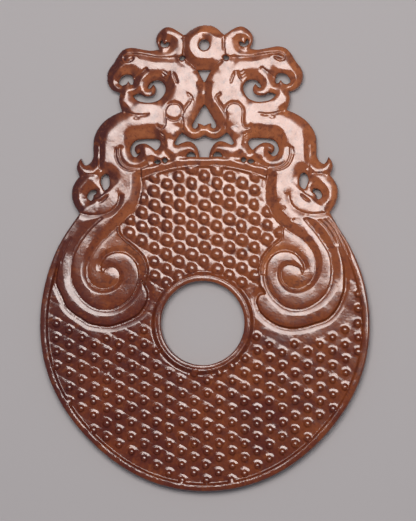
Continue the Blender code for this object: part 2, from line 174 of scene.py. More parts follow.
PLUME_LINE = ((11.5, 228.5), (13.8, 221.5), (18.5, 215), (21.8, 207.5), (20.6, 200), (21.8, 192.5))
RING_LINE = ((20.6, 287.0), (20.2, 278), (21.5, 269))
THROAT_LINE = ((19.5, 264.5), (13.5, 259.5), (7.5, 254))
# Half of the ring at the top of the crest, from its top down to the throat.
CROWN_HALF = ((0, 304), (12, 300), *RING_LINE, *THROAT_LINE, (0, 252))
MIDDLE_LINE = ((0, 242.5), (0, 231), (0, 219))
SNOUT_LINE = ((56.5, 257), (62, 252.5), (67.5, 248), (71, 244.5))


class Side(Enum):
    """The two halves of the carving, as seen from above with the crest away from the viewer."""

    LEFT = -1
    RIGHT = 1


BOTH_SIDES = (Side.LEFT, Side.RIGHT)


def eased(share: Array) -> Array:
    """Ease a share from 0 to 1 so that it starts and ends level."""
    share = np.clip(share, 0.0, 1.0)
    return share * share * (3.0 - 2.0 * share)


def notch(away: Array, half: float) -> Array:
    """Share of a V-shaped line's depth at a distance from its middle."""
    return np.clip(1.0 - np.abs(away) / half, 0.0, 1.0)


def rounding(inside: Array, radius: float) -> Array:
    """Drop of a rounded edge at distances inside it, which are 0 or more."""
    return radius * (1.0 - np.sqrt(1.0 - notch(inside, radius) ** 2))


def smooth_run(points: Array, step: float) -> Array:
    """Draw a smooth curve through the points.

    Args:
        points: The places the curve goes through, one row each.
        step: Length of the straight pieces that the curve is cut into.

    Returns:
        The curve's places, from the first point to the last.
    """
    if len(points) < FEWEST_FOR_CURVE:
        return points
    padded = np.vstack([points[:1], points, points[-1:]])
    parts = [points[:1]]
    for before, start, end, after in zip(padded[:-3], padded[1:-2], padded[2:-1], padded[3:]):
        pieces = max(1, round(float(np.linalg.norm(end - start)) / step))
        t = (np.arange(1, pieces + 1) / pieces)[:, None]
        weighted = (
            (-t ** 3 + 2 * t ** 2 - t) * before
            + (3 * t ** 3 - 5 * t ** 2 + 2) * start
            + (-3 * t ** 3 + 4 * t ** 2 + t) * end
            + (t ** 3 - t ** 2) * after
        )
        parts.append(weighted / 2)
    return np.vstack(parts)


@dataclass(frozen=True)
class Drawing:
    """The squared drawing that the carving's free forms are laid out on.

    Its first number is squares outwards from the mirror line, its second squares up from the disc's centre.
    """

    disc_diameter: float = 0.1352
    squares_per_radius: float = 164.5
    ring_top: float = 299.5
    curve_step: float = 0.0006

    @property
    def square(self) -> float:
        """Side of one square in metres."""
        return self.disc_diameter / 2 / self.squares_per_radius

    @property
    def centre_y(self) -> float:
        """Where the disc's centre lies on the Y axis."""
        return -(self.ring_top * self.square - self.disc_diameter / 2) / 2

    def place(self, points: Iterable[Point], side: Side = Side.RIGHT) -> Array:
        """Turn places on the drawing into metres, on one side of the mirror line.

        Args:
            points: Places in squares.
            side: The side of the mirror line.

        Returns:
            The places in metres, one row each.
        """
        placed = np.array(list(points), dtype=float).reshape(-1, 2) * self.square
        placed[:, 0] *= side.value
        placed[:, 1] += self.centre_y
        return placed

    def curve(self, points: Iterable[Point], side: Side = Side.RIGHT) -> Array:
        """Draw a smooth curve through places on the drawing, in metres."""
        return smooth_run(self.place(points, side), self.curve_step)

    def chain(self, runs: Sequence[Run], side: Side = Side.RIGHT) -> Array:
        """Join smooth runs end to end, with a corner where one stops and the next starts.

        Args:
            runs: The runs, each from where the last one stops.
            side: The side of the mirror line.

        Returns:
            Places along the line, in metres.
        """
        line = self.curve(runs[0], side)
        for run in runs[1:]:
            placed = np.vstack([line[-1:], self.place(run, side)])
            line = np.vstack([line, smooth_run(placed, self.curve_step)[1:]])
        return line

    def loop(self, runs: Sequence[Run], side: Side) -> Array:
        """Draw a closed outline, with its first place not repeated."""
        return self.chain(runs, side)[:-1]

    def middle_loop(self, half: Sequence[Run]) -> Array:
        """Draw a closed outline from one half and its mirror image."""
        right = self.chain(half, Side.RIGHT)
        return np.vstack([right, self.chain(half, Side.LEFT)[::-1][1:-1]])


DRAWING = Drawing()


@dataclass(frozen=True)
class Disc:
    """The round plate: its hand-cut edge, rim, hole and the border round the hole."""

    thickness: float = 0.0060
    hole_diameter: float = 0.0342
    hole_off_centre: Point = (-0.0006, 0.0009)
    shoulder_angle: float = 36.0
    edge_wander: tuple[tuple[float, float, float], ...] = (
        (145.0, 16.0, 1.8), (225.0, 22.0, -3.0), (317.0, 20.0, -2.2),
    )

    @property
    def hole_centre(self) -> Point:
        """Middle of the hole, which was drilled a little off the disc's middle."""
        return self.hole_off_centre[0], self.hole_off_centre[1] + DRAWING.centre_y

    def edge_radius(self, angle: Array) -> Array:
        """Radius of the hand-cut edge at angles in degrees from the +X side.

        Args:
            angle: Angles in degrees.

        Returns:
            Radii in metres.
        """
        radius = np.full_like(angle, DRAWING.disc_diameter / 2)
        for middle, spread, squares in self.edge_wander:
            radius = radius + squares * DRAWING.square * np.exp(-((angle - middle) / spread) ** 2)
        return radius

    def edge(self) -> Array:
        """Places along the disc's edge from its left shoulder, round the bottom, to its right shoulder.

        Returns:
            Places in metres, one row each.
        """
        reach = 180.0 + 2 * self.shoulder_angle
        pieces = math.ceil(math.radians(reach) * DRAWING.disc_diameter / 2 / DRAWING.curve_step)
        angle = np.linspace(180.0 - self.shoulder_angle, 360.0 + self.shoulder_angle, pieces + 1)
        radius = self.edge_radius(angle)
        turn = np.radians(angle)
        return np.column_stack([radius * np.cos(turn), DRAWING.centre_y + radius * np.sin(turn)])

    def ring(self, diameter: float, centre: Point) -> Array:
        """Places round a circle, with the first not repeated.

        Args:
            diameter: The circle's diameter.
            centre: Its middle.

        Returns:
            Places in metres, one row each.
        """
        pieces = math.ceil(math.pi * diameter / DRAWING.curve_step)
        turn = np.linspace(0.0, 2 * math.pi, pieces, endpoint=False)
        return np.array(centre) + diameter / 2 * np.column_stack([np.cos(turn), np.sin(turn)])


@dataclass(frozen=True)
class Nearness:
    """How a part of the height map lies to a line: how far off, on which side and how far along."""

    rows: slice
    columns: slice
    distance: Array
    turn: Array
    along: Array
    length: float


@dataclass
class HeightMap:
    """A fine square map of the carving, seen from above, that relief is pressed into."""

    half_width: float = 0.0690
    half_length: float = 0.0966
    step: float = 0.000125
    x: Array = field(init=False)
    y: Array = field(init=False)

    def __post_init__(self) -> None:
        """Lay out the map's columns and rows."""
        self.x = np.arange(-self.half_width, self.half_width + self.step, self.step)
        self.y = np.arange(-self.half_length, self.half_length + self.step, self.step)

    @property
    def shape(self) -> tuple[int, int]:
        """Rows and columns of the map."""
        return len(self.y), len(self.x)

    def window(self, line: Array, reach: float) -> tuple[slice, slice]:
        """The rows and columns that lie within a reach of a line's box.

        Args:
            line: Places along the line.
            reach: How far round them to look.

        Returns:
            The slices of rows and of columns.
        """
        low = line.min(axis=0) - reach
        high = line.max(axis=0) + reach
        rows = slice(*np.searchsorted(self.y, (low[1], high[1])))
        columns = slice(*np.searchsorted(self.x, (low[0], high[0])))
        return rows, columns

    def near(self, line: Array, reach: float, closed: bool = False) -> Nearness:
        """Measure the map against a line.

        Args:
            line: Places along the line.
            reach: How far from the line the measure has to hold.
            closed: Whether the line comes back to its first place.

        Returns:
            The distance, the side (positive on the left of the way the line runs) and the length along the
            line, over the window that the line reaches.
        """
        if closed:
            line = np.vstack([line, line[:1]])
        rows, columns = self.window(line, reach)
        size = (rows.stop - rows.start, columns.stop - columns.start)
        distance = np.full(size, np.inf)
        turn = np.ones(size)
        along = np.zeros(size)
        walked = 0.0
        for start, end in zip(line[:-1], line[1:]):
            run = end - start
            length = float(np.hypot(*run))
            if length == 0.0:
                continue
            near_rows, near_columns = self.window(np.array([start, end]), reach)
            part = (
                slice(near_rows.start - rows.start, near_rows.stop - rows.start),
                slice(near_columns.start - columns.start, near_columns.stop - columns.start),
            )
            across_x = self.x[near_columns][None, :] - start[0]
            across_y = self.y[near_rows][:, None] - start[1]
            t = np.clip((across_x * run[0] + across_y * run[1]) / length ** 2, 0.0, 1.0)
            gap = np.hypot(across_x - t * run[0], across_y - t * run[1])
            closer = gap < distance[part]
            distance[part] = np.where(closer, gap, distance[part])
            side = np.where(run[0] * across_y - run[1] * across_x >= 0.0, 1.0, -1.0)
            turn[part] = np.where(closer, side, turn[part])
            along[part] = np.where(closer, walked + t * length, along[part])
            walked += length
        return Nearness(rows, columns, distance, turn, along, walked)

    def inside(self, loops: Iterable[Array]) -> Array:
        """Mark the places that lie inside an odd number of closed outlines.

        Args:
            loops: The outlines, none with its first place repeated.

        Returns:
            True where a place is inside.
        """
        crossings = np.zeros(self.shape, dtype=np.int8)
        for loop in loops:
            for start, end in zip(loop, np.roll(loop, -1, axis=0)):
                low, high = sorted((start[1], end[1]))
                first, last = np.searchsorted(self.y, (low, high))
                rows = np.arange(first, last)
                if not len(rows):
                    continue
                share = (self.y[rows] - start[1]) / (end[1] - start[1])
                columns = np.searchsorted(self.x, start[0] + share * (end[0] - start[0]))
                np.add.at(crossings, (rows, np.minimum(columns, len(self.x) - 1)), 1)
        return np.cumsum(crossings, axis=1) % 2 == 1

    def blurred(self, values: Array, spread: float) -> Array:
        """Soften a map with a bell-shaped brush.

        Args:
            values: The map.
            spread: Half width of the bell, in metres.

        Returns:
            The softened map.
        """
        reach = math.ceil(3 * spread / self.step)
        places = np.arange(-reach, reach + 1) * self.step
        brush = np.exp(-(places / spread) ** 2 / 2)
        brush /= brush.sum()
        for axis in (0, 1):
            padded = np.pad(values, [(reach, reach) if a == axis else (0, 0) for a in (0, 1)], mode="edge")
            values = sum(
                weight * (padded[k:k + values.shape[0], :] if axis == 0 else padded[:, k:k + values.shape[1]])
                for k, weight in enumerate(brush)
            )
        return values

    def sample(self, values: Array, places: Array) -> Array:
        """Read a map at any places, blending the four nearest values.

        Args:
            values: The map.
            places: Where to read it, one row each.

        Returns:
            One value for each place.
        """
        column = np.clip((places[:, 0] - self.x[0]) / self.step, 0, len(self.x) - WITHIN_EDGE)
        row = np.clip((places[:, 1] - self.y[0]) / self.step, 0, len(self.y) - WITHIN_EDGE)
        i, j = row.astype(int), column.astype(int)
        u, v = row - i, column - j
        return (
            values[i, j] * (1 - u) * (1 - v) + values[i, j + 1] * (1 - u) * v
            + values[i + 1, j] * u * (1 - v) + values[i + 1, j + 1] * u * v
        )


# Carved lines that run from the crest to the volutes, which differ a little from one side to the other.
VOLUTE_OUTER_LINES = {
    Side.LEFT: (
        (99, 109), (106, 103.5), (114, 96), (122, 86), (128, 76), (131.3, 66), (132.3, 55), (131, 42),
        (126, 32), (118, 23), (109, 17.5), (98, 15.5), (88, 17.5), (78, 23), (70.5, 31), (66, 41), (64.5, 51),
        (67, 61), (73.5, 69), (82, 73), (91, 72.5), (98.5, 68.5), (102.8, 61), (102.5, 54),
    ),
    Side.RIGHT: (
        (98, 107), (105, 98.5), (112, 90.5), (118.5, 81), (124, 72), (126.5, 63), (127, 53), (126, 43),
        (123, 35), (118, 28), (111, 22), (101, 17), (91, 15.5), (81, 18), (73, 24), (67, 31), (63, 40),
        (61.5, 50), (62.5, 60), (67, 68), (74, 72.5), (82, 73.5), (90, 71), (96, 65), (99.5, 58), (99, 53),
    ),
}
VOLUTE_INNER_LINES = {
    Side.LEFT: (
        (62.5, 148), (62.5, 135), (65, 122), (71, 112), (83, 101), (94, 91), (104, 82), (111, 72),
        (115.5, 62), (116.8, 52), (114.5, 44), (109, 38.5), (101, 36), (92, 38), (86, 43), (84.3, 50),
        (87, 56), (92, 58.3), (97.5, 57), (100.5, 53),
    ),
    Side.RIGHT: (
        (62.5, 148), (61, 135), (61.5, 124), (66, 112), (74, 101), (84, 93), (95, 86.5), (103, 79),
        (108, 72), (110.6, 65), (111, 57), (109.5, 49), (105, 42), (99, 37.5), (92, 35.5), (85, 37),
        (80, 41), (77, 47), (76.8, 53), (79.5, 58), (85, 59.8), (91, 58.5), (95.5, 55.5), (97.5, 51),
    ),
}
TAIL_LINES = {
    Side.LEFT: (
        (141, 75), (145, 63), (147.6, 52), (148.1, 41.8), (145, 34.2), (141.5, 26.5), (138.1, 18.9),
        (132.8, 13.5), (127.4, 9.7), (121.3, 5.9), (115.2, 2.1), (104.4, -0.2), (94.5, -0.6), (89.1, 0.5),
        (77.7, 4.4), (66.2, 10.5), (59.3, 18.9), (56.2, 26.5), (55.9, 32.7), (58.5, 38.8), (62.4, 45.7),
    ),
    Side.RIGHT: (
        (134, 78), (137.5, 68), (139.6, 58), (140.1, 48.7), (140.1, 40.3), (139, 32.6), (135.9, 23.4),
        (132.8, 17.3), (129, 12), (123.6, 6.6), (117.5, 3.5), (109.9, 1.2), (103.7, -0.7), (96.1, -2.6),
        (88.4, -3.3), (80.8, -2.6), (73.1, -0.3), (66.3, 3.5), (60.9, 7.4), (56.3, 12), (53.6, 17.3),
        (52.2, 23.5), (53.6, 29), (57.5, 31.8), (61.5, 31.2),
    ),
}
# Where the plain ground between a volute's arms falls to the grain field, from the tail's hook up.
WEDGE_BANKS = {
    Side.LEFT: (
        (60, 43), (58.5, 49), (58, 56), (61, 66), (67.5, 74), (75, 80.5), (82, 86.5), (86, 92), (87, 98),
    ),
    Side.RIGHT: (
        (61, 34.5), (57, 41), (56.5, 48), (56.5, 57), (59, 65), (63.5, 72), (70, 79), (75, 83), (79, 87),
        (79, 92), (79, 97),
    ),
}
INTO_FIELD = ((50, 50), (50, 66), (60, 84), (75, 98))
FINAL_TURN = {Side.LEFT: 16, Side.RIGHT: 17}
VOLUTE_EYES = {Side.LEFT: (93.5, 48.5), Side.RIGHT: (88.5, 48)}
# Closes the outline of a body far outside the grain fields.
BEYOND_BODY = ((60, 175), (175, 175), (175, 75))

SHOULDER_LINES = {
    Side.LEFT: (
        ((131, 88), (136, 79), (141, 68), (144, 58)),
        ((137, 84), (142, 74), (146, 64)),
    ),
    Side.RIGHT: (
        ((112, 104.5), (118, 100.5), (124, 93), (128.5, 85), (132, 77.5)),
        ((118, 105.5), (124, 99.5), (130, 91.5), (134.5, 82), (138, 71), (140.5, 61), (142, 52)),
        ((122, 107), (128, 100), (133.5, 91), (138.5, 81), (142, 72), (144.5, 64)),
    ),
}


@dataclass(frozen=True)
class Cut:
    """Section of a carved line: steep on one side, a long gentle slope on the other."""

    depth: float = 0.00045
    step: tuple[float, ...] = (0.0,)
    wall: float = 0.00042
    slope: tuple[float, ...] = (0.0026,)
    shoulder: float = 0.0022
    shoulder_drop: float = 0.00012
    thread_away: float = 0.0
    thread_depth: float = 0.00009
    thread_half: float = 0.00032
    fade_in: float = 0.0020
    fade_out: float = 0.0020
    dish: float = 1.25
    spare: float = 0.0002

    @property
    def reach(self) -> float:
        """How far from the line the cut still shows."""
        return max(*self.slope, self.shoulder, self.thread_away + self.thread_half) + self.spare

    def depth_near(self, near: Nearness, gentle_side: float) -> Array:
        """Depth of the cut over the window that its line reaches.

        Args:
            near: The window, measured against the line.
            gentle_side: 1 where the gentle slope is on the left of the line's way, -1 on its right.

        Returns:
            Depths below the face, in metres.
        """
        share = near.along / near.length
        slope = np.interp(share, np.linspace(0.0, 1.0, len(self.slope)), self.slope)
        step = np.interp(share, np.linspace(0.0, 1.0, len(self.step)), self.step)
        away = near.distance * near.turn * gentle_side
        gentle = (self.depth + np.maximum(-step, 0.0)) * np.clip(1.0 - away / slope, 0.0, 1.0) ** self.dish
        thread = self.thread_depth * notch(away - self.thread_away, self.thread_half)
        if self.thread_away:
            gentle = gentle + thread
        back = np.clip(-away, 0.0, None)
        steep = (self.depth + np.maximum(step, 0.0) - self.shoulder_drop) * (1.0 - eased(back / self.wall))
        steep = steep + self.shoulder_drop * np.clip(1.0 - back / self.shoulder, 0.0, 1.0) ** 2
        depth = np.where(away >= 0.0, gentle, steep)
        if self.fade_in:
            depth = depth * eased(near.along / self.fade_in)
        if self.fade_out:
            depth = depth * eased((near.length - near.along) / self.fade_out)
        return depth


class LineKind(Enum):
    """The kinds of carved line, each with its own section."""

    VOLUTE_OUTER = Cut(depth=0.00046, slope=(0.0038, 0.0040, 0.0026, 0.0022, 0.0023), thread_away=0.0007,
                       step=(0.0, 0.0, 0.0, 0.0, 0.0, 0.0, 0.0004, 0.0006, 0.0006, 0.0005, 0.0002))
    VOLUTE_INNER = Cut(depth=0.00020, thread_away=0.0007, fade_in=0.0,
                       slope=(0.0044, 0.0050, 0.0048, 0.0036, 0.0030, 0.0026, 0.0020, 0.0017, 0.0014),
                       step=(-0.0013, -0.0013, -0.0011, -0.0007, -0.0006, -0.0006, -0.0006, -0.0005, -0.0004,
                             -0.0003, -0.0002))
    TAIL = Cut(depth=0.00042, slope=(0.0018, 0.0024, 0.0027, 0.0027), thread_away=0.0007, fade_out=0.0010,
               wall=0.0006, step=(0.0, 0.0008, 0.0013, 0.0013, 0.0013, 0.0013, 0.0013, 0.0013))
    SLANTED = Cut(depth=0.00046, slope=(0.0024,), shoulder=0.0012, shoulder_drop=0.00008, fade_in=0.0012,
                  fade_out=0.0012)
    FINE = Cut(depth=0.00034, wall=0.00042, slope=(0.0014,), shoulder=0.0008, shoulder_drop=0.00004,
               fade_in=0.0014, fade_out=0.0026)
    HATCH = Cut(depth=0.00021, wall=0.0003, slope=(0.0005,), shoulder=0.0005, shoulder_drop=0.00002,
                fade_in=0.0006, fade_out=0.0006)
    STEM = Cut(depth=0.0008, wall=0.0034, slope=(0.0034,), shoulder_drop=0.0, fade_in=0.0004, fade_out=0.0004)


@dataclass(frozen=True)
class Stroke:
    """One carved line on the drawing, and the side its gentle slope is on (1 left of its way, -1 right)."""

    kind: LineKind
    points: Run
    gentle: int = 1


@dataclass(frozen=True)
class SoftEdge:
    """A stretch of edge that is worn or bevelled more broadly than the rest."""

    across: float
    up: float
    spread: float
    width: float
    drop: float


@dataclass
class Relief:
    """The carved face and the plainer back, as two maps of heights."""

    disc: Disc = Disc()
    field_depth: float = 0.0013
    edge_round: float = 0.00055
    back_round: float = 0.00050
    edge_bevel: float = 0.0011
    edge_bevel_drop: float = 0.00010
    crest_bevel: float = 0.0058
    crest_bevel_drop: float = 0.00118
    bevel_bend: float = 2.4
    crest_start: float = 0.0012
    bevel_soft: float = 0.00050
    rim_flat: float = 0.0023
    rim_slope: float = 0.0011
    rim_shown: Point = (-0.0004, 0.0040)
    rim_thread: float = 0.00215
    rim_thread_half: float = 0.00026
    rim_thread_depth: float = 0.00007
    crest_side_sine: float = 0.66
    crest_side_over: float = 0.12
    rim_fall: float = 0.00036
    rim_fall_from: float = -0.0006
    rim_fall_over: float = 0.0024
    rim_fall_end: float = 0.0030
    rim_fall_fade: float = 0.0008
    border_threads: tuple[tuple[float, float, float], ...] = (
        (0.00008, 0.0019, 0.00028), (0.00010, 0.0041, 0.00030),
    )
    back_thread_inset: float = 0.0034
    back_thread_half: float = 0.0005
    back_thread_depth: float = 0.0002
    border_flat: float = 0.0023
    border_slope: float = 0.0016
    field_wall: float = 0.0014
    tail_run_in: float = 0.0130
    body_soft: float = 0.0003
    wedge_depth: float = 0.0006
    eye_rise: float = 0.00018
    eye_spread: float = 0.0030
    grain_pitch: float = 0.0058
    grain_row_gap: float = 0.00515
    grain_top: float = 0.0010
    grain_edge: float = 0.0024
    grain_edge_height: float = 0.00122
    grain_foot: float = 0.0032
    grain_foot_slope: float = 0.16
    grain_height: float = 0.00112
    grain_top_bend: float = 0.0044
    grain_stray: float = 0.00014
    grain_unevenness: float = 0.05
    grain_squash: float = 0.075
    upper_lean: Point = (0.40, 0.8)
    upper_second_lean: float = 0.35
    lower_grain_share: float = 0.70
    lower_grain_bend: float = 0.0027
    lower_grain_facing: float = 0.12
    dash_foot: float = 0.0026
    dash_lean: float = 0.1
    dash_half: float = 0.0023
    dash_end: float = 0.0008
    dash_shift: float = 0.0006
    dash_turn: float = 0.33
    dash_bow: float = 0.75
    dash_turn_by: float = 0.036
    dash_easing: float = 0.25
    fields_part_up: float = 36.0
    grain_clear_of_tail: float = 0.0048
    grain_tail_share: float = 0.98
    grain_least_ground: float = 0.8
    upper_grain_start: Point = (0.0, 105.5)
    lower_grain_start: Point = (2.5, -26.5)
    valley_half: float = 0.00055
    valley_depth: float = 0.000045
    cross_valley_share: float = 0.2
    lower_valley_share: float = 0.78
    valley_fading: float = 0.82
    valley_bank_fade: int = 3
    crown_flat: float = 0.0055
    crown_slope: float = 0.0034
    crown_depth: float = 0.00095
    crown_bend: float = 1.6
    crown_lee: float = 0.80
    crown_lee_from: float = 0.001
    crown_lee_over: float = 0.004
    polish: float = 0.00010
    edge_reach: float = 0.0072
    edge_inset: float = 0.00003
    soft_edge_fade: float = 1.5
    deep_cut: float = 0.0006
    facet_inset: float = 0.0012
    # Share of the painted light on the slopes of cuts, and how far it is softened.
    lit_cut_share: float = 0.7
    lit_slopes_soft: float = 0.0006
    front: Array = field(init=False)
    back: Array = field(init=False)
    edge: Array = field(init=False)
    lit_slopes: Array = field(init=False)
    map: HeightMap = field(default_factory=HeightMap)

    def press(self) -> None:
        """Work out the whole relief."""
        self.edge = self.signed_edge()
        ground = self.ground_share()
        cuts = self.cuts()
        wedge = self.wedge_drop()
        drop = np.maximum(self.field_depth * ground - self.grain(ground) * ground, wedge) + cuts
        drop = drop + self.row_lines(ground) + (1.0 - self.bodies()) * self.rim_drop() + self.border_drop()
        drop = self.map.blurred(drop + self.hand_wobble() + self.crown_drop(), self.polish)
        bevel = self.edge_drop()
        self.front = self.disc.thickness - np.maximum(drop, 0.0) - bevel
        self.back = self.back_height()
        # Where light is painted into the colour: the slopes of the cuts, the wedges and the bevels at the
        # edges.
        slopes = np.clip(cuts / self.deep_cut, 0.0, 1.0) + (wedge > 0.0)
        facets = eased(bevel / self.deep_cut) * eased(self.edge / self.facet_inset)
        lit_slopes = self.map.blurred(np.maximum(self.lit_cut_share * slopes, facets), self.lit_slopes_soft)
        self.lit_slopes = np.clip(lit_slopes, 0.0, 1.0)

    def plate_loops(self) -> list[Array]:
        """The outline of the whole carving and of each opening through it.

        Returns:
            The loops, with no first place repeated.
        """
        half = DRAWING.chain(CREST_RUNS, Side.LEFT)
        other = DRAWING.chain(CREST_RUNS, Side.RIGHT)[::-1]
        silhouette = np.vstack([half, self.disc.edge()[1:-1], other[:-1]])
        loops = [silhouette]
        loops += [DRAWING.loop(runs, side) for runs in PAIRED_OPENINGS for side in BOTH_SIDES]
        loops += [DRAWING.middle_loop(half_runs) for half_runs in MIDDLE_OPENINGS]
        loops.append(self.disc.ring(self.disc.hole_diameter, self.disc.hole_centre))
        cord_hole = DRAWING.place([(0.0, CORD_HOLE_UP)])[0]
        loops.append(self.disc.ring(CORD_HOLE_DIAMETER, (cord_hole[0], cord_hole[1])))
        return loops

    def signed_edge(self) -> Array:
        """Distance from the nearest edge of the stone: positive inside it, negative outside.

        Returns:
            Distances in metres.
        """
        loops = self.plate_loops()
        distance = np.full(self.map.shape, self.edge_reach)
        for loop in loops:
            near = self.map.near(loop, self.edge_reach, closed=True)
            part = distance[near.rows, near.columns]
            distance[near.rows, near.columns] = np.minimum(part, near.distance)
        return np.where(self.map.inside(loops), distance, -distance) - self.edge_inset

    def away_from(self, centre: Sequence[float]) -> Array:
        """Distance of every place on the map from one place."""
        return np.hypot(self.map.x[None, :] - centre[0], self.map.y[:, None] - centre[1])

    def rim_inset(self) -> tuple[Array, Array]:
        """How far inside the disc's edge every place on the map is.

        Returns:
            The distance, and the place's angle in degrees from the +X side.
        """
        x = self.map.x[None, :]
        y = self.map.y[:, None] - DRAWING.centre_y
        angle = np.degrees(np.arctan2(y, x)) % 360.0
        return self.disc.edge_radius(angle) - np.hypot(x, y), angle

    def near_line(self, line: Array, reach: float) -> Array:
        """Distance from a line over the whole map, no further than a reach.

        Args:
            line: Places along the line.
            reach: The furthest that counts.

        Returns:
            Distances in metres.
        """
        distance = np.full(self.map.shape, reach)
        near = self.map.near(line, reach)
        distance[near.rows, near.columns] = np.minimum(near.distance, reach)
        return distance

    def ground_share(self) -> Array:
        """How much of the field's full depth each place is sunk by: 1 on the ground of the grain fields.

        Returns:
            Shares from 0 to 1.
        """
        inset, _ = self.rim_inset()
        share = eased((inset - self.rim_flat) / self.rim_slope)
        border = self.disc.hole_diameter / 2 + self.border_flat
        share = np.minimum(share, eased((self.away_from(self.disc.hole_centre) - border) / self.border_slope))
        for side in BOTH_SIDES:
            bank = DRAWING.curve(WEDGE_BANKS[side], side)
            wall = eased(self.near_line(bank, self.field_wall) / self.field_wall)
            start = DRAWING.place(TAIL_LINES[side][:1], side)[0]
            share = np.minimum(share, eased(self.away_from(start) / self.tail_run_in))
            share = np.where(self.map.inside([self.body_loop(side)]), 0.0, np.minimum(share, wall))
        return share

    def body_loop(self, side: Side) -> Array:
        """Outline of the body that runs from the crest to the volute, closed far outside the disc.

        Args:
            side: Which body.

        Returns:
            Places round it, one row each.
        """
        tail = DRAWING.curve(TAIL_LINES[side], side)
        bank = DRAWING.curve(WEDGE_BANKS[side], side)
        inner = DRAWING.curve(VOLUTE_INNER_LINES[side], side)
        meeting = np.argmin(np.hypot(*(inner - bank[-1]).T))
        return np.vstack([tail, bank, inner[:meeting][::-1], DRAWING.place(BEYOND_BODY, side)])

    def bodies(self) -> Array:
        """Share of each place that the two bodies cover, softened at their edges."""
        inside = self.map.inside([self.body_loop(side) for side in BOTH_SIDES])
        return self.map.blurred(inside.astype(float), self.body_soft)

    def wedge_drop(self) -> Array:
        """How far the plain ground between the arms of each volute lies below the face.

        Returns:
            Depths in metres.
        """
        drop = np.zeros(self.map.shape)
        for side in BOTH_SIDES:
            inner = DRAWING.curve(VOLUTE_INNER_LINES[side], side)
            bank = DRAWING.curve(WEDGE_BANKS[side], side)
            meeting = np.argmin(np.hypot(*(inner - bank[-1]).T))
            outer = DRAWING.curve(VOLUTE_OUTER_LINES[side][FINAL_TURN[side]:], side)
            loop = np.vstack([inner[meeting:], outer[::-1], DRAWING.place(INTO_FIELD, side)])
            drop[self.map.inside([loop]) & self.map.inside([self.body_loop(side)])] = self.wedge_depth
            away = self.away_from(DRAWING.place([VOLUTE_EYES[side]], side)[0])
            drop -= np.where(drop > 0.0, self.eye_rise * np.exp(-(away / self.eye_spread) ** 2), 0.0)
        return np.maximum(drop, 0.0)

    def cuts(self) -> Array:
        """Depth of all carved lines.

        Returns:
            Depths in metres.
        """
        deepest = np.zeros(self.map.shape)
        for side in BOTH_SIDES:
            for stroke in STROKES + SIDE_STROKES[side]:
                line = DRAWING.curve(stroke.points, side)
                near = self.map.near(line, stroke.kind.value.reach)
                depth = stroke.kind.value.depth_near(near, stroke.gentle * side.value)
                depth[~np.isfinite(near.distance)] = 0.0
                part = deepest[near.rows, near.columns]
                deepest[near.rows, near.columns] = np.maximum(part, depth)
        return deepest

    @property
    def bank(self) -> float:
        """Where on the Y axis the upper field's rows of grain give way to the lower field's."""
        return DRAWING.place([(0.0, self.fields_part_up)])[0][1]

    def grain_centres(self, ground: Array) -> Array:
        """Centres of the grain bosses: upright rows, every second one half a pitch lower.

        Args:
            ground: How much each place belongs to the fields' sunk ground.

        Returns:
            The centres, one row each, each a little off its place as by hand.
        """
        columns = math.ceil(DRAWING.disc_diameter / self.grain_row_gap)
        steps = math.ceil(DRAWING.disc_diameter / self.grain_pitch)
        bank = self.bank
        centres = []
        for start, is_upper in ((self.upper_grain_start, True), (self.lower_grain_start, False)):
            origin = DRAWING.place([start])[0]
            for column, step in itertools.product(range(-columns, columns + 1), range(-steps, steps + 1)):
                x = origin[0] + column * self.grain_row_gap
                y = origin[1] + (step + 0.5 * (column % 2)) * self.grain_pitch
                if (y > bank) == is_upper:
                    centres.append((x, y))
        centres = np.array(centres)
        centres = centres[(np.abs(centres) < (self.map.half_width, self.map.half_length)).all(axis=1)]
        clear = self.map.sample(ground, centres) > self.grain_least_ground
        for side in BOTH_SIDES:
            tail = self.near_line(DRAWING.curve(TAIL_LINES[side], side), self.grain_clear_of_tail)
            clear &= self.map.sample(tail, centres) > self.grain_clear_of_tail * self.grain_tail_share
        chosen = centres[clear]
        return chosen + np.random.default_rng(HAND_SEED).normal(0.0, self.grain_stray, chosen.shape)

    def grain(self, ground: Array) -> Array:
        """Height of the grain bosses over the ground of the fields.

        Args:
            ground: How much each place belongs to the fields' sunk ground.

        Returns:
            Heights above the ground, in metres.
        """
        height = np.zeros(self.map.shape)
        hand = np.random.default_rng(HAND_SEED)
        bank = self.bank
        for centre in self.grain_centres(ground):
            is_upper = centre[1] > bank
            size = (1.0 if is_upper else self.lower_grain_share) * hand.normal(1.0, self.grain_unevenness)
            wide, tall = hand.normal(1.0, self.grain_squash, 2)
            rows, columns = self.map.window(centre[None, :], self.grain_foot)
            x = self.map.x[columns][None, :] - centre[0]
            y = self.map.y[rows][:, None] - centre[1]
            if is_upper:
                bend = self.grain_top_bend
                radius = np.hypot(x / wide, y / tall)
                foot = self.round_foot(x, y, radius, size)
            else:
                bend = self.lower_grain_bend
                radius = np.hypot(x, y)
                foot = self.dashed_foot(x, y, radius, float(eased(centre[0] / self.dash_turn_by)))
            edge = size * self.grain_edge
            button = 1.0 - eased((radius - size * self.grain_top) / (edge - size * self.grain_top))
            boss = self.grain_edge_height * button + foot * eased(radius / edge)
            boss = np.minimum(boss, self.grain_height - radius ** 2 / (2 * bend))
            height[rows, columns] = np.maximum(height[rows, columns], boss)
        return height

    @property
    def facing(self) -> float:
        """The way, in radians from the +X side, that the slope beyond each boss faces."""
        return math.atan2(self.grain_row_gap, self.grain_pitch / 2)

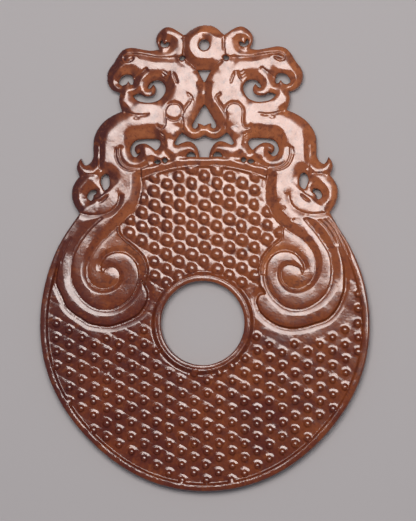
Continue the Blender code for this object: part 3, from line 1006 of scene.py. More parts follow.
    def round_foot(self, x: Array, y: Array, radius: Array, size: float) -> Array:
        """Height of the foot round a boss of the upper field, which runs out gently towards its neighbours.

        Args:
            x: How far each place is beside the boss's centre.
            y: How far each place is above the boss's centre.
            radius: Distance from the centre, as squashed as the boss.
            size: The boss's size against the usual one.

        Returns:
            Heights above the ground, in metres.
        """
        around = np.arctan2(y, x)
        least, share = self.upper_lean
        gentle = eased(least + share * np.cos(around - self.facing))
        gentle = np.maximum(gentle, eased(np.cos(around + self.upper_second_lean)))
        fall = np.clip(self.grain_foot * math.sqrt(size) - radius, 0.0, None)
        return gentle * (self.grain_foot_slope * fall)

    def dashed_foot(self, x: Array, y: Array, radius: Array, turned: float) -> Array:
        """Height of the slope beyond a boss of the lower field, straight at the left and bowed at the right.

        Args:
            x: How far each place is beside the boss's centre.
            y: How far each place is above the boss's centre.
            radius: Distance from the centre.
            turned: How far the slope has changed from the left's kind to the right's, from 0 to 1.

        Returns:
            Heights above the ground, in metres.
        """
        towards = self.facing + self.lower_grain_facing + self.dash_turn * turned
        bow = self.dash_bow * turned
        onward = x * math.cos(towards) + y * math.sin(towards)
        sideways = np.abs(x * math.sin(towards) - y * math.cos(towards) + self.dash_shift * (1.0 - turned))
        gentle = eased(self.dash_lean + np.cos(np.arctan2(y, x) - towards))
        gentle = gentle * eased((self.dash_half - sideways) / self.dash_end)
        slope = self.grain_foot_slope * (1.0 - self.dash_easing * turned)
        return gentle * (slope * np.clip(self.dash_foot - (1.0 - bow) * onward - bow * radius, 0.0, None))

    def row_lines(self, ground: Array) -> Array:
        """Depth of the shallow valleys between the rows of grain.

        Args:
            ground: How much each place belongs to the fields' sunk ground.

        Returns:
            Depths below the ground, in metres.
        """
        depth = np.zeros(self.map.shape)
        tilt = math.atan2(self.grain_pitch / 2, self.grain_row_gap)
        gap = self.grain_pitch * math.cos(tilt)
        is_upper = self.map.y[:, None] > self.bank
        for start, chosen in ((self.upper_grain_start, is_upper), (self.lower_grain_start, ~is_upper)):
            origin = DRAWING.place([start])[0]
            x = self.map.x[None, :] - origin[0]
            y = self.map.y[:, None] - origin[1]
            for angle, strength in ((-tilt, 1.0), (tilt, self.cross_valley_share)):
                across = y * math.cos(angle) - x * math.sin(angle)
                away = np.abs((across / gap) % 1.0 - 0.5) * gap
                share = np.clip(away / self.valley_half, 0.0, 1.0)
                line = strength * self.valley_depth * (0.5 + 0.5 * np.cos(math.pi * share))
                depth = np.where(chosen, np.maximum(depth, line), depth)
        turned = eased(self.map.x[None, :] / self.dash_turn_by)
        faint = self.lower_valley_share * (1.0 - self.valley_fading * turned)
        return depth * np.where(is_upper, 1.0, faint) * ground ** self.valley_bank_fade

    def rim_drop(self) -> Array:
        """Depth of the thin line along the inner side of the rim, and the slope of the rim under the crest.

        Returns:
            Depths below the face, in metres.
        """
        inset, angle = self.rim_inset()
        shown = (inset > self.rim_shown[0]) & (inset < self.rim_shown[1])
        thread = self.rim_thread_depth * notch(inset - self.rim_thread, self.rim_thread_half)
        under_crest = eased((np.sin(np.radians(angle)) - self.crest_side_sine) / self.crest_side_over)
        slope = self.rim_fall * np.clip((inset - self.rim_fall_from) / self.rim_fall_over, 0.0, 1.0)
        slope = slope * eased((self.rim_fall_end - inset) / self.rim_fall_fade)
        return np.where(shown, thread + under_crest * slope, 0.0)

    def crown_drop(self) -> Array:
        """How far the ring at the top of the crest falls away round its level middle.

        Returns:
            Depths below the face, in metres.
        """
        right, left = (DRAWING.curve(CROWN_HALF, side) for side in (Side.RIGHT, Side.LEFT))
        outline = np.vstack([right, left[::-1]])
        away = self.away_from(DRAWING.place([(0.0, CORD_HOLE_UP)])[0])
        share = np.clip((away - self.crown_flat) / self.crown_slope, 0.0, 1.0)
        lee = 1.0 - self.crown_lee * eased((self.map.x[None, :] - self.crown_lee_from) / self.crown_lee_over)
        return np.where(self.map.inside([outline]), self.crown_depth * lee * share ** self.crown_bend, 0.0)

    def border_drop(self) -> Array:
        """Depth of the two thin lines round the border of the hole.

        Returns:
            Depths below the face, in metres.
        """
        away = self.away_from(self.disc.hole_centre) - self.disc.hole_diameter / 2
        first, second = (depth * notch(away - middle, half) for depth, middle, half in self.border_threads)
        return first + second

    def hand_wobble(self) -> Array:
        """The slight unevenness of a face polished by hand.

        Returns:
            Depths in metres, the least of them 0.
        """
        x = self.map.x[None, :]
        y = self.map.y[:, None]
        wobble = np.zeros(self.map.shape)
        for length, angle, phase, height in HAND_WOBBLE:
            turn = math.radians(angle)
            across = x * math.cos(turn) + y * math.sin(turn)
            wobble += height * np.sin(across * 2 * math.pi / length + phase)
        return wobble - wobble.min()

    def edge_drop(self) -> Array:
        """How much the front face falls towards its edges.

        Returns:
            Depths in metres.
        """
        inset, _ = self.rim_inset()
        crest = eased(-inset / self.crest_start)
        width = self.edge_bevel + crest * (self.crest_bevel - self.edge_bevel)
        fall = self.edge_bevel_drop + crest * (self.crest_bevel_drop - self.edge_bevel_drop)
        for side in BOTH_SIDES:
            for soft in SOFT_EDGES + SIDE_SOFT_EDGES[side]:
                away = self.away_from(DRAWING.place([(soft.across, soft.up)], side)[0])
                weight = eased(self.soft_edge_fade - away / (soft.spread * DRAWING.square))
                width = width + weight * (soft.width - width)
                fall = fall + weight * (soft.drop - fall)
        inside = np.clip(self.edge, 0.0, None)
        bevel = fall * np.clip(1.0 - inside / width, 0.0, 1.0) ** self.bevel_bend
        bevel = self.map.blurred(bevel, self.bevel_soft)
        return bevel + rounding(inside, self.edge_round)

    def back_height(self) -> Array:
        """The plainer back: flat, with rounded edges and a shallow field inside a rim and a border.

        Returns:
            Heights over the floor, in metres.
        """
        inset, _ = self.rim_inset()
        away = self.away_from(self.disc.hole_centre) - self.disc.hole_diameter / 2
        thread = notch(inset - self.back_thread_inset, self.back_thread_half)
        ring = notch(away - self.back_thread_inset, self.back_thread_half)
        edges = rounding(np.clip(self.edge, 0.0, None), self.back_round)
        return edges + self.back_thread_depth * np.maximum(thread, ring)


EAR_SHAPES = (((26.5, 239), (29.5, 247), (32, 254)), ((39, 241), (35, 247), (32, 254)))
BODY_LINES = (
    ((72, 209), (68, 207), (62, 207.5)),
    ((18, 232), (12, 227), (11, 221)),
    ((96, 136), (101, 131), (107, 127.5), (111, 126.5)),
    ((95.5, 130), (101, 124), (108, 121)),
)
CURL_LINES = (
    ((102, 162), (101.5, 155)),
    ((88, 178), (89, 170), (86, 161), (80, 155.5), (71, 153.5), (63, 154.5)),
)
HATCH_LINES = (
    ((41, 253.5), (36, 250)), ((42.5, 251), (37, 246.5)), ((43.5, 248.5), (38, 244)),
    ((45, 245.5), (40, 241.5)), ((44, 192), (39, 188)), ((44, 189.5), (39, 185.5)),
    ((43.5, 187), (38.5, 183)), ((43, 184.5), (38, 180.5)), ((42, 182), (37, 178.5)),
    ((75, 123), (71, 120)), ((91, 105.5), (87, 103)), ((82, 117), (78, 113)),
)
EAR_RINGS = {Side.LEFT: (((22, 210), (24, 205.5), (30, 203.2), (36, 205.5), (38.5, 210)),), Side.RIGHT: ()}


def strokes_of(kind: LineKind, lines: Iterable[Run], gentle: int = 1) -> tuple[Stroke, ...]:
    """Strokes of one kind along several lines."""
    return tuple(Stroke(kind, line, gentle) for line in lines)


STROKES = (
    *strokes_of(LineKind.SLANTED, (BROW_LINE, LOOP_LINE, NECK_LINE, LOWER_CURL_LINE, SNOUT_LINE), -1),
    *strokes_of(LineKind.FINE, (JAW_LINE, EAR_LINE, FIN_LINE, PLUME_LINE, THROAT_LINE, EAR_SHAPES[0])),
    *strokes_of(LineKind.FINE, BODY_LINES),
    *strokes_of(LineKind.FINE, (RING_LINE, EAR_SHAPES[1], *CURL_LINES), -1),
    *strokes_of(LineKind.STEM, (MIDDLE_LINE,)),
    *strokes_of(LineKind.HATCH, HATCH_LINES),
)
SIDE_STROKES = {
    side: (
        Stroke(LineKind.VOLUTE_OUTER, VOLUTE_OUTER_LINES[side]),
        Stroke(LineKind.VOLUTE_INNER, VOLUTE_INNER_LINES[side]),
        Stroke(LineKind.TAIL, TAIL_LINES[side]),
        *strokes_of(LineKind.FINE, SHOULDER_LINES[side] + EAR_RINGS[side]),
    )
    for side in BOTH_SIDES
}

# Worn or broadly bevelled stretches of edge: across, up, spread, width and drop of each.
SOFT_EDGES = tuple(SoftEdge(*row) for row in (
    (0, 276, 19, 0.0014, 0.00011), (0, 303, 17, 0.0064, 0.00202), (14, 297, 8, 0.0062, 0.00190),
    (20, 266, 8, 0.0011, 0.00011), (41, 279, 5, 0.0020, 0.00034), (36, 295, 6, 0.0028, 0.00067),
    (60, 275, 9, 0.0025, 0.00067), (8, 257, 7, 0.0048, 0.00134), (7, 247, 6, 0.0031, 0.00067),
    (90, 235, 8, 0.0062, 0.00179), (80, 246, 6, 0.0034, 0.00078), (86, 222, 7, 0.0036, 0.00067),
    (54, 190, 9, 0.0087, 0.00202), (70, 188, 9, 0.0087, 0.00202), (55, 174, 7, 0.0020, 0.00034),
    (28, 190, 6, 0.0034, 0.00067), (28, 178, 8, 0.0028, 0.00056), (14, 172, 7, 0.0020, 0.00045),
    (43, 163, 7, 0.0014, 0.00022), (124, 157, 8, 0.0034, 0.00078), (134, 138, 8, 0.0045, 0.00112),
    (132, 122, 9, 0.0048, 0.00123), (112, 130, 7, 0.0042, 0.00090), (98, 140, 7, 0.0025, 0.00056),
))
SIDE_SOFT_EDGES = {
    Side.LEFT: tuple(SoftEdge(*row) for row in (
        (24, 291, 7, 0.0022, 0.0004), (49, 285, 9, 0.0070, 0.0018), (104, 202, 12, 0.0068, 0.0016),
        (112, 185, 12, 0.0090, 0.0023), (112, 169, 10, 0.0088, 0.0023), (40, 238, 8, 0.0072, 0.0017),
        (58, 221, 11, 0.0018, 0.00030), (88, 266, 9, 0.0066, 0.0021), (99, 248, 12, 0.0098, 0.0026),
    )),
    Side.RIGHT: tuple(SoftEdge(*row) for row in (
        (24, 291, 7, 0.0020, 0.0004), (49, 287, 9, 0.0048, 0.0012), (104, 202, 12, 0.0062, 0.0015),
        (112, 185, 12, 0.0096, 0.0026), (112, 169, 10, 0.0088, 0.0023), (40, 234, 9, 0.0028, 0.00065),
        (58, 221, 13, 0.0016, 0.00026), (76, 224, 7, 0.0020, 0.00030), (80, 252, 9, 0.0020, 0.0004),
        (88, 266, 9, 0.0050, 0.0015), (99, 248, 12, 0.0062, 0.0018),
    )),
}

HAND_SEED = 11
# Waves of the hand-polished face: length, direction in degrees, phase, height.
HAND_WOBBLE = (
    (0.0230, 20.0, 0.4, 0.000024),
    (0.0170, 100.0, 1.9, 0.000018),
    (0.0110, 62.0, 3.1, 0.000013),
    (0.0140, 151.0, 5.0, 0.000013),
    (0.0062, 130.0, 2.2, 0.0000065),
    (0.0051, 38.0, 4.4, 0.0000050),
    (0.0036, 84.0, 1.1, 0.0000030),
)


@dataclass
class JadeCarving:
    """The whole carving, which is one piece of stone."""

    relief: Relief
    square: float = 0.00032
    triangles: int = 190_000
    fitting_rounds: int = 3
    least_gradient: float = 0.3
    sliver_share: float = 0.05
    least_outward: float = 1e-6
    wall_within: float = 0.35
    wall_tilt: Point = (0.75, 0.20)
    # How much painted light on cut slopes fades where they face -X, and the tilt where it is gone; then
    # painted shade.
    unlit_away_from_light: Point = (0.75, 0.35)
    painted_shade_slope: float = 0.24
    painted_shade_from: float = 0.02

    def build(self) -> bpy.types.Object:
        """Fit the sheet to the outline, thicken it, lift it to the relief and thin out its flat places.

        Returns:
            The finished object, without a material.
        """
        mesh = bpy.data.meshes.new("phoenix_carving")
        bm = self.sheet()
        bm.to_mesh(mesh)
        bm.free()
        self.fit_to_outline(mesh)
        bm = self.thickened(mesh)
        bm.to_mesh(mesh)
        bm.free()
        self.put_in_order(mesh)
        self.lift(mesh)
        carving = bpy.data.objects.new("phoenix_carving", mesh)
        bpy.context.collection.objects.link(carving)
        self.thin_out(carving)
        self.lift(carving.data)
        self.shade(carving.data)
        return carving

    def sheet(self) -> bmesh.types.BMesh:
        """A flat sheet of small triangles that covers the carving.

        Returns:
            The sheet, level with the floor.
        """
        relief_map = self.relief.map
        bm = bmesh.new()
        columns = math.ceil(2 * relief_map.half_width / self.square)
        rows = math.ceil(2 * relief_map.half_length / self.square)
        stretch = Matrix.Diagonal((columns * self.square, rows * self.square, 1.0, 1.0))
        bmesh.ops.create_grid(bm, x_segments=columns, y_segments=rows, size=0.5, matrix=stretch)
        bmesh.ops.triangulate(bm, faces=bm.faces[:], quad_method="ALTERNATE")
        return bm

    def fit_to_outline(self, mesh: bpy.types.Mesh) -> None:
        """Move the sheet's points that are nearest to the outline onto it.

        Args:
            mesh: The sheet.
        """
        places = read_places(mesh)
        edges = np.empty(len(mesh.edges) * 2, dtype=np.int32)
        mesh.edges.foreach_get("vertices", edges)
        edges = edges.reshape(-1, 2)
        inside = self.relief.map.sample(self.relief.edge, places)
        ends = inside[edges]
        crossing = edges[(ends[:, 0] > 0) != (ends[:, 1] > 0)]
        nearer = np.where(np.abs(inside[crossing[:, 0]]) <= np.abs(inside[crossing[:, 1]]), crossing[:, 0],
                          crossing[:, 1])
        moved = np.unique(nearer)
        slope_y, slope_x = np.gradient(self.relief.edge, self.relief.map.step)
        spots = places[moved]
        for _ in range(self.fitting_rounds):
            off = self.relief.map.sample(self.relief.edge, spots)
            normal = np.column_stack([
                self.relief.map.sample(slope_x, spots), self.relief.map.sample(slope_y, spots),
            ])
            length = np.maximum(np.linalg.norm(normal, axis=1, keepdims=True), self.least_gradient)
            spots[:, :2] -= off[:, None] * normal / length ** 2
        places[moved] = spots
        mark = mesh.attributes.new(ON_OUTLINE, "BOOLEAN", "POINT")
        marks = np.zeros(len(places), dtype=bool)
        marks[moved] = True
        mark.data.foreach_set("value", marks)
        mesh.vertices.foreach_set("co", places.ravel())

    def thickened(self, mesh: bpy.types.Mesh) -> bmesh.types.BMesh:
        """Cut away the sheet outside the outline and give the rest its thickness.

        Args:
            mesh: The fitted sheet.

        Returns:
            The closed body, still flat on both sides.
        """
        bm = bmesh.new()
        bm.from_mesh(mesh)
        centres = np.array([face.calc_center_median() for face in bm.faces])
        outside = self.relief.map.sample(self.relief.edge, centres) < 0.0
        faces = bm.faces[:]
        bmesh.ops.delete(bm, geom=[face for face, is_out in zip(faces, outside) if is_out], context="FACES")
        marked = bm.verts.layers.bool[ON_OUTLINE]
        slivers = [face for face in bm.faces
                   if all(vert[marked] for vert in face.verts)
                   and face.calc_area() < self.square ** 2 * self.sliver_share]
        bmesh.ops.delete(bm, geom=slivers, context="FACES")
        raised = bmesh.ops.extrude_face_region(bm, geom=bm.faces[:], use_keep_orig=True)
        verts = [part for part in raised["geom"] if isinstance(part, bmesh.types.BMVert)]
        bmesh.ops.translate(bm, verts=verts, vec=(0.0, 0.0, self.relief.disc.thickness))
        bmesh.ops.recalc_face_normals(bm, faces=bm.faces[:])
        return bm

    def put_in_order(self, mesh: bpy.types.Mesh) -> None:
        """Write the body anew with its faces in a fixed order, so that each run thins it out alike.

        Args:
            mesh: The closed body.
        """
        places = read_places(mesh)
        faces = sorted(tuple(face.vertices) for face in mesh.polygons)
        mesh.clear_geometry()
        mesh.from_pydata(places, [], faces)

    def lift(self, mesh: bpy.types.Mesh) -> None:
        """Set every point of the front and the back to its height.

        Args:
            mesh: The closed body.
        """
        places = read_places(mesh)
        front = places[:, 2] > self.relief.disc.thickness / 2
        places[front, 2] = self.relief.map.sample(self.relief.front, places[front])
        places[~front, 2] = self.relief.map.sample(self.relief.back, places[~front])
        mesh.vertices.foreach_set("co", places.ravel())
        mesh.update()

    def thin_out(self, carving: bpy.types.Object) -> None:
        """Take out triangles where the stone is nearly flat.

        Args:
            carving: The object, whose mesh is exchanged.
        """
        mesh = carving.data
        modifier = carving.modifiers.new("thin_out", "DECIMATE")
        modifier.ratio = self.triangles / sum(len(face.vertices) - 2 for face in mesh.polygons)
        modifier.use_collapse_triangulate = True
        graph = bpy.context.evaluated_depsgraph_get()
        thinned = bpy.data.meshes.new_from_object(carving.evaluated_get(graph))
        carving.modifiers.clear()
        carving.data = thinned
        bpy.data.meshes.remove(mesh)

    def shade(self, mesh: bpy.types.Mesh) -> None:
        """Shade the stone smooth by the exact slope of the relief, and store where light and shade are
        painted.

        Args:
            mesh: The finished mesh.
        """
        places = read_places(mesh)
        relief_map = self.relief.map
        front = places[:, 2] > self.relief.disc.thickness / 2
        normals = np.zeros_like(places)
        for heights, chosen, up in ((self.relief.front, front, 1.0), (self.relief.back, ~front, -1.0)):
            spots = places[chosen]
            slope_y, slope_x = np.gradient(heights, relief_map.step)
            normals[chosen, 0] = -up * relief_map.sample(slope_x, spots)
            normals[chosen, 1] = -up * relief_map.sample(slope_y, spots)
            normals[chosen, 2] = up
        inside = relief_map.sample(self.relief.edge, places)
        edge_y, edge_x = np.gradient(self.relief.edge, relief_map.step)
        outward = -np.column_stack([relief_map.sample(edge_x, places), relief_map.sample(edge_y, places)])
        outward /= np.maximum(np.linalg.norm(outward, axis=1, keepdims=True), self.least_outward)
        steep = inside < self.square * self.wall_within
        round_share = notch(np.clip(inside, 0.0, None), self.relief.edge_round)
        level = np.sqrt(1.0 - round_share ** 2)
        least_out, least_up = self.wall_tilt
        normals[steep, :2] = outward[steep] * np.maximum(round_share[steep], least_out)[:, None]
        normals[steep, 2] = np.sign(normals[steep, 2]) * np.maximum(level[steep], least_up)
        normals /= np.linalg.norm(normals, axis=1, keepdims=True)
        mesh.shade_smooth()
        mesh.normals_split_custom_set_from_vertices(normals.tolist())
        # Painted light on cut slopes, less where they face -X; painted shade on crest slopes that face -X.
        unlit, full_tilt = self.unlit_away_from_light
        lit_slopes = np.where(front, relief_map.sample(self.relief.lit_slopes, places), 0.0)
        lit_slopes = lit_slopes * (1.0 - unlit * np.clip(-normals[:, 0] / full_tilt, 0.0, 1.0))
        lee = eased(-normals[:, 0] / self.painted_shade_slope) * eased(places[:, 1] / self.painted_shade_from)
        lee = np.where(front, lee, 0.0)
        for name, values in ((LIT_SLOPES, lit_slopes), (PAINTED_SHADE, lee)):
            mesh.attributes.new(name, "FLOAT", "POINT").data.foreach_set("value", values.astype(np.float32))


def read_places(mesh: bpy.types.Mesh) -> Array:
    """Read where a mesh's points are.

    Args:
        mesh: The mesh.

    Returns:
        The points, one row each.
    """
    places = np.empty(len(mesh.vertices) * 3)
    mesh.vertices.foreach_get("co", places)
    return places.reshape(-1, 3)


def stretched(tree: Tree, value: Any, low: float, high: float, most: float = 1.0, least: float = 0.0) -> Any:
    """Stretch a value smoothly between two limits.

    Args:
        tree: The nodes to add to.
        value: The socket whose value is stretched.
        low: The value that gives the least.
        high: The value that gives the most.
        most: What the result is at the high limit.
        least: What the result is at the low limit.

    Returns:
        The socket with the result.
    """
    node = tree.nodes.new("ShaderNodeMapRange")
    node.interpolation_type = "SMOOTHSTEP"
    for name, number in (("From Min", low), ("From Max", high), ("To Min", least), ("To Max", most)):
        node.inputs[name].default_value = number
    tree.links.new(value, node.inputs["Value"])
    return node.outputs["Result"]


def joined(tree: Tree, operation: str, parts: Sequence[Any]) -> Any:
    """Multiply or add several values.

    Args:
        tree: The nodes to add to.
        operation: Name of the operation, as the node has it.
        parts: The values, each a socket or, after the first, a plain number.

    Returns:
        The socket with the result.
    """
    value = parts[0]
    for part in parts[1:]:
        node = tree.nodes.new("ShaderNodeMath")
        node.operation = operation
        tree.links.new(value, node.inputs[0])
        if isinstance(part, float):
            node.inputs[1].default_value = part
        else:
            tree.links.new(part, node.inputs[1])
        value = node.outputs["Value"]
    return value


@dataclass(frozen=True)
class JadeFinish:
    """Polished russet jade: warm brown with cloudy veins, and with painted light and painted shade in its
    colour.

    A pattern is its scale, detail and roughness. A span is where a share starts and ends, and the most it
    comes to.
    """

    deep: Colour = (0.122, 0.0220, 0.0130)
    body: Colour = (0.205, 0.0440, 0.0150)
    warm: Colour = (0.330, 0.0950, 0.0240)
    vein: Colour = (0.080, 0.0150, 0.0120)
    # Painted haze on the crest, painted light on cut slopes, and painted shade.
    painted_haze: Colour = (0.460, 0.150, 0.0620)
    sunlit: Colour = (0.520, 0.180, 0.0680)
    shade: Colour = (0.070, 0.0200, 0.0210)
    plum: Colour = (0.095, 0.0260, 0.0240)
    rust: Colour = (0.360, 0.1050, 0.0260)
    clouds: Pattern = (55.0, 5.0, 0.55)
    patches: Pattern = (120.0, 4.0, 0.6)
    veins: Pattern = (190.0, 6.0, 0.62)
    mottles: Pattern = (290.0, 5.0, 0.65)
    specks: Pattern = (1150.0, 3.0, 0.6)
    cloud_span: Span = (0.38, 0.64)
    patch_span: Span = (0.36, 0.60)
    crest_up: Span = (-0.030, 0.018)
    painted_haze_side: Span = (-0.080, 0.015, 0.72)
    # How the painted haze on the crest spreads across, and the most it comes to.
    warm_side: Span = (-0.075, 0.105)
    warm_share: float = 0.5
    # Spans and shares of the painted light on cut slopes, the painted shade on slopes facing -X and at the
    # far left.
    lit_slopes_span: Span = (0.0, 0.9)
    slope_side: Span = (-0.068, -0.004)
    slope_share: float = 0.95
    painted_shade_side: Span = (0.030, -0.035)
    painted_shade_share: float = 0.85
    painted_shade_left: Span = (-0.036, -0.068, 0.55)
    plum_mottles: Span = (0.50, 0.66, 0.55)
    rust_mottles: Span = (0.46, 0.30, 0.40)
    dark_veins: Span = (0.56, 0.74, 0.55)
    dark_specks: Span = (0.52, 0.72, 0.50)
    rust_specks: Span = (0.46, 0.28, 0.35)
    roughness: Point = (0.06375, 0.12325)
    shine_from: Point = (0.3, 0.7)
    shine_to: Point = (0.62, 0.40)
    crest_shine: float = 1.10
    refraction: float = 1.62
    bump_strength: float = 0.5
    bump_depth: float = 0.00003
    bump_gain: float = 2.0

    def material(self) -> bpy.types.Material:
        """Build the stone's material.

        Returns:
            The material, with colour, roughness and bump from nodes on object coordinates.
        """
        stone = bpy.data.materials.new("russet_jade_polish")
        stone.use_nodes = True
        tree = stone.node_tree
        shader = tree.nodes["Principled BSDF"]
        shader.inputs["IOR"].default_value = self.refraction
        shader.inputs["Subsurface Weight"].default_value = 0.0
        where = tree.nodes.new("ShaderNodeTexCoord").outputs["Object"]
        split = tree.nodes.new("ShaderNodeSeparateXYZ")
        tree.links.new(where, split.inputs["Vector"])
        x, y = split.outputs["X"], split.outputs["Y"]
        veins = self.noise(tree, where, self.veins)
        mottles = self.noise(tree, where, self.mottles)
        specks = self.noise(tree, where, self.specks)
        colour = self.colour(tree, where, (x, y), (veins, mottles, specks))
        tree.links.new(colour, shader.inputs["Base Color"])
        rough = self.ranged(tree, veins, (0.0, 1.0), self.roughness)
        tree.links.new(rough, shader.inputs["Roughness"])
        shine = self.ranged(tree, veins, self.shine_from, self.shine_to)
        polish = stretched(tree, y, *self.crest_up, self.crest_shine, 1.0)
        tree.links.new(joined(tree, "MULTIPLY", (shine, polish)), shader.inputs["Specular IOR Level"])
        bump = tree.nodes.new("ShaderNodeBump")
        bump.inputs["Strength"].default_value = self.bump_strength
        bump.inputs["Distance"].default_value = self.bump_depth
        tree.links.new(joined(tree, "MULTIPLY", (mottles, specks, self.bump_gain)), bump.inputs["Height"])
        tree.links.new(bump.outputs["Normal"], shader.inputs["Normal"])
        return stone

    def colour(self, tree: Tree, where: Any, across: tuple[Any, Any], patterns: tuple[Any, Any, Any]) -> Any:
        """Lay the stone's colours, and the painted light and shade, over one another.

        Args:
            tree: The nodes to add to.
            where: The socket with object coordinates.
            across: Their first and second number.
            patterns: The veins, the mottles and the specks.

        Returns:
            The socket with the colour.
        """
        x, y = across
        veins, mottles, specks = patterns
        patches = stretched(tree, self.noise(tree, where, self.patches), *self.patch_span)
        crest = stretched(tree, y, *self.crest_up)
        painted_haze = (crest, stretched(tree, x, *self.painted_haze_side))
        warm = (stretched(tree, x, *self.warm_side), patches, self.warm_share)
        slopes = (
            stretched(tree, self.stored(tree, LIT_SLOPES), *self.lit_slopes_span),
            stretched(tree, x, *self.slope_side), self.slope_share, patches,
        )
        lee = (self.stored(tree, PAINTED_SHADE), stretched(tree, x, *self.painted_shade_side), self.painted_shade_share)
        layers = (
            # Painted haze: the crest is painted paler, more so towards the right.
            (joined(tree, "MULTIPLY", painted_haze), self.painted_haze),
            (joined(tree, "MULTIPLY", warm), self.warm),
            # Painted light on the cut slopes towards the right, orange on the disc and paler on the crest.
            (joined(tree, "MULTIPLY", slopes), self.mix(tree, crest, self.warm, self.sunlit)),
            # Painted shade on crest slopes that face -X, mostly on the left.
            (joined(tree, "MULTIPLY", lee), self.shade),
            # Painted shade: the far left is painted darker.
            (stretched(tree, x, *self.painted_shade_left), self.shade),
            (stretched(tree, mottles, *self.plum_mottles), self.plum),
            (stretched(tree, mottles, *self.rust_mottles), self.rust),
            (stretched(tree, veins, *self.dark_veins), self.vein),
            (stretched(tree, specks, *self.dark_specks), self.vein),
            (stretched(tree, specks, *self.rust_specks), self.rust),
        )
        clouds = stretched(tree, self.noise(tree, where, self.clouds), *self.cloud_span)
        base = self.mix(tree, clouds, self.deep, self.body)
        for share, colour in layers:
            base = self.mix(tree, share, base, colour)
        return base

    @staticmethod
    def noise(tree: Tree, where: Any, pattern: Pattern) -> Any:
        """Add a cloudy pattern.

        Args:
            tree: The nodes to add to.
            where: The socket with object coordinates.
            pattern: The pattern's scale, detail and roughness.

        Returns:
            The socket with its value.
        """
        node = tree.nodes.new("ShaderNodeTexNoise")
        for name, number in zip(("Scale", "Detail", "Roughness"), pattern):
            node.inputs[name].default_value = number
        tree.links.new(where, node.inputs["Vector"])
        return node.outputs["Fac"]

    @staticmethod
    def stored(tree: Tree, name: str) -> Any:
        """Read a value that is stored with each point of the mesh.

        Args:
            tree: The nodes to add to.
            name: The name it is stored under.

        Returns:
            The socket with the value.
        """
        node = tree.nodes.new("ShaderNodeAttribute")
        node.attribute_name = name
        return node.outputs["Fac"]

    @staticmethod
    def ranged(tree: Tree, value: Any, source: Point, target: Point) -> Any:
        """Carry a value from one range over to another along a straight line.

        Args:
            tree: The nodes to add to.
            value: The socket with the value.
            source: The ends of the first range.
            target: What they become.

        Returns:
            The socket with the result.
        """
        node = tree.nodes.new("ShaderNodeMapRange")
        for name, number in zip(("From Min", "From Max", "To Min", "To Max"), source + target):
            node.inputs[name].default_value = number
        tree.links.new(value, node.inputs["Value"])
        return node.outputs["Result"]

    @staticmethod
    def mix(tree: Tree, share: Any, first: Any, second: Any) -> Any:
        """Blend two colours.

        Args:
            tree: The nodes to add to.
            share: The socket with the second colour's share.
            first: A socket or a plain colour.
            second: A socket or a plain colour.

        Returns:
            The socket with the blend.
        """
        node = tree.nodes.new("ShaderNodeMix")
        node.data_type = "RGBA"
        sockets = [socket for socket in node.inputs if socket.type == "RGBA"]
        tree.links.new(share, node.inputs["Factor"])
        for socket, colour in zip(sockets, (first, second)):
            if isinstance(colour, tuple):
                socket.default_value = (*colour, 1.0)
            else:
                tree.links.new(colour, socket)
        return next(socket for socket in node.outputs if socket.type == "RGBA")


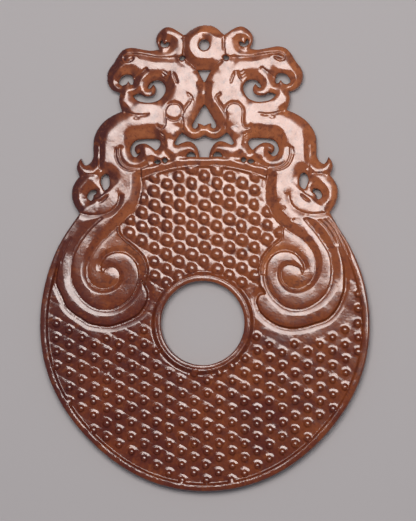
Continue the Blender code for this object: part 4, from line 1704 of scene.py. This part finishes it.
@dataclass(frozen=True)
class Studio:
    """A plain pale floor, one large soft light beyond the crest, and the camera above."""

    floor_size: float = 3.0
    floor_gap: float = 0.00005
    floor_colour: Colour = (0.55, 0.55, 0.56)
    floor_roughness: float = 0.9
    floor_shine: float = 0.2
    light_height: float = 1.20
    light_near: tuple[float, float] = (-0.0689, 0.0400)
    light_turn: float = -17.0
    light_along: float = 0.05
    light_depth: float = 0.62
    light_width: float = 0.95
    light_radiance: float = 9.6
    light_colour: Colour = (1.0, 0.92, 0.885)
    fade_near: float = 0.028
    fade_far: float = 0.26
    fade_side: float = 0.26
    halo_share: float = 0.055
    halo_near: float = 0.055
    halo_far: float = 0.30
    halo_side: float = 0.25
    halo_fade: float = 0.03
    ambient: Colour = (0.12, 0.12, 0.14)
    camera_distance: float = 1.60
    tilt_right: float = 6.5
    tilt_down: float = 2.0
    frame_long_side: float = 0.2122
    sensor: float = 36.0
    view_centre: Point = (208.2, 260.8)
    disc_centre: Point = (204.0, 325.0)

    def floor(self) -> bpy.types.Object:
        """The floor.

        Returns:
            The floor.
        """
        bm = bmesh.new()
        bmesh.ops.create_grid(bm, x_segments=1, y_segments=1, size=self.floor_size / 2)
        bmesh.ops.translate(bm, verts=bm.verts[:], vec=(0.0, 0.0, -self.floor_gap))
        mesh = bpy.data.meshes.new("studio_floor")
        bm.to_mesh(mesh)
        bm.free()
        floor = bpy.data.objects.new("studio_floor", mesh)
        bpy.context.collection.objects.link(floor)
        finish = bpy.data.materials.new("matt_floor")
        finish.use_nodes = True
        shader = finish.node_tree.nodes["Principled BSDF"]
        shader.inputs["Base Color"].default_value = (*self.floor_colour, 1.0)
        shader.inputs["Roughness"].default_value = self.floor_roughness
        shader.inputs["Specular IOR Level"].default_value = self.floor_shine
        mesh.materials.append(finish)
        return floor

    def lights(self) -> None:
        """The soft light overhead, beyond the crest, and the room's faint light."""
        turn = math.radians(self.light_turn)
        width = self.light_width + 2 * self.halo_side
        depth = self.halo_near + self.light_depth + self.halo_far
        along = Vector((math.cos(turn), math.sin(turn), 0.0)) * self.light_along
        beyond = Vector((-math.sin(turn), math.cos(turn), 0.0)) * (depth / 2 - self.halo_near)
        place = Vector((*self.light_near, self.light_height)) + along + beyond
        lamp = bpy.data.lights.new("softbox", "AREA")
        lamp.shape = "RECTANGLE"
        lamp.size = width
        lamp.size_y = depth
        lamp.color = self.light_colour
        lamp.energy = self.light_radiance * math.pi * width * depth
        softbox = bpy.data.objects.new("softbox", lamp)
        softbox.matrix_world = Matrix.Translation(place) @ Matrix.Rotation(turn, 4, "Z")
        bpy.context.collection.objects.link(softbox)
        self.fade_edges(lamp)
        world = bpy.data.worlds.new("studio_room")
        bpy.context.scene.world = world
        world.use_nodes = True
        background = world.node_tree.nodes["Background"]
        background.inputs["Color"].default_value = (*self.ambient, 1.0)
        background.inputs["Strength"].default_value = 1.0

    def fade_edges(self, lamp: bpy.types.Light) -> None:
        """Let the light fade out towards the softbox's edges, with a faint glow round it, as its cloth does.

        Args:
            lamp: The light, whose nodes are built here and follow its own axes.
        """
        lamp.use_nodes = True
        tree = lamp.node_tree
        split = tree.nodes.new("ShaderNodeSeparateXYZ")
        tree.links.new(tree.nodes.new("ShaderNodeTexCoord").outputs["Object"], split.inputs["Vector"])
        x, y = split.outputs["X"], split.outputs["Y"]
        side = self.light_width / 2
        glow_side = side + self.halo_side
        end = (self.halo_near + self.light_depth + self.halo_far) / 2
        near, far = self.halo_near - end, end - self.halo_far
        bright = ((x, -side, self.fade_side - side), (x, side, side - self.fade_side),
                  (y, near, near + self.fade_near), (y, far, far - self.fade_far))
        glow = ((x, -glow_side, -side), (x, glow_side, side), (y, -end, self.halo_fade - end), (y, end, far))
        shares = [
            joined(tree, "MULTIPLY", (*(stretched(tree, *edge) for edge in edges), share))
            for edges, share in ((bright, 1.0 - self.halo_share), (glow, self.halo_share))
        ]
        tree.links.new(joined(tree, "ADD", shares), tree.nodes["Emission"].inputs["Strength"])

    def camera(self) -> None:
        """The camera above the carving, leaning as in the photograph."""
        square = DRAWING.square
        target = Vector((
            (self.view_centre[0] - self.disc_centre[0]) * square,
            (self.disc_centre[1] - self.view_centre[1]) * square + DRAWING.centre_y,
            Disc.thickness,
        ))
        away = Vector((math.tan(math.radians(self.tilt_right)), -math.tan(math.radians(self.tilt_down)), 1.0))
        away.normalize()
        lens = bpy.data.cameras.new("view")
        lens.sensor_width = self.sensor
        lens.sensor_fit = "AUTO"
        lens.lens = self.sensor * self.camera_distance / self.frame_long_side
        camera = bpy.data.objects.new("view", lens)
        right = Vector((0.0, 1.0, 0.0)).cross(away).normalized()
        turn = Matrix((right, away.cross(right), away)).transposed().to_4x4()
        camera.matrix_world = Matrix.Translation(target + away * self.camera_distance) @ turn
        bpy.context.collection.objects.link(camera)
        bpy.context.scene.camera = camera

    def build(self) -> None:
        """Set up the floor, the lights, the camera and the plain view of colours."""
        self.floor()
        self.lights()
        self.camera()
        bpy.context.scene.view_settings.view_transform = "Standard"


def main() -> None:
    """Build the carving on the frame, then the studio round it."""
    logging.basicConfig(level=logging.INFO, format="%(name)s: %(message)s")
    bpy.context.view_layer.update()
    relief = Relief()
    relief.press()
    log.info("relief pressed, %d by %d places", *relief.map.shape)
    carving = JadeCarving(relief).build()
    carving.data.materials.append(JadeFinish().material())
    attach(carving, BODY)
    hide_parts(NODE)
    log.info("phoenix carving: %d triangles", len(carving.data.polygons))
    Studio().build()
    log.info("studio: floor, softbox and camera")


if __name__ == "__main__":
    main()
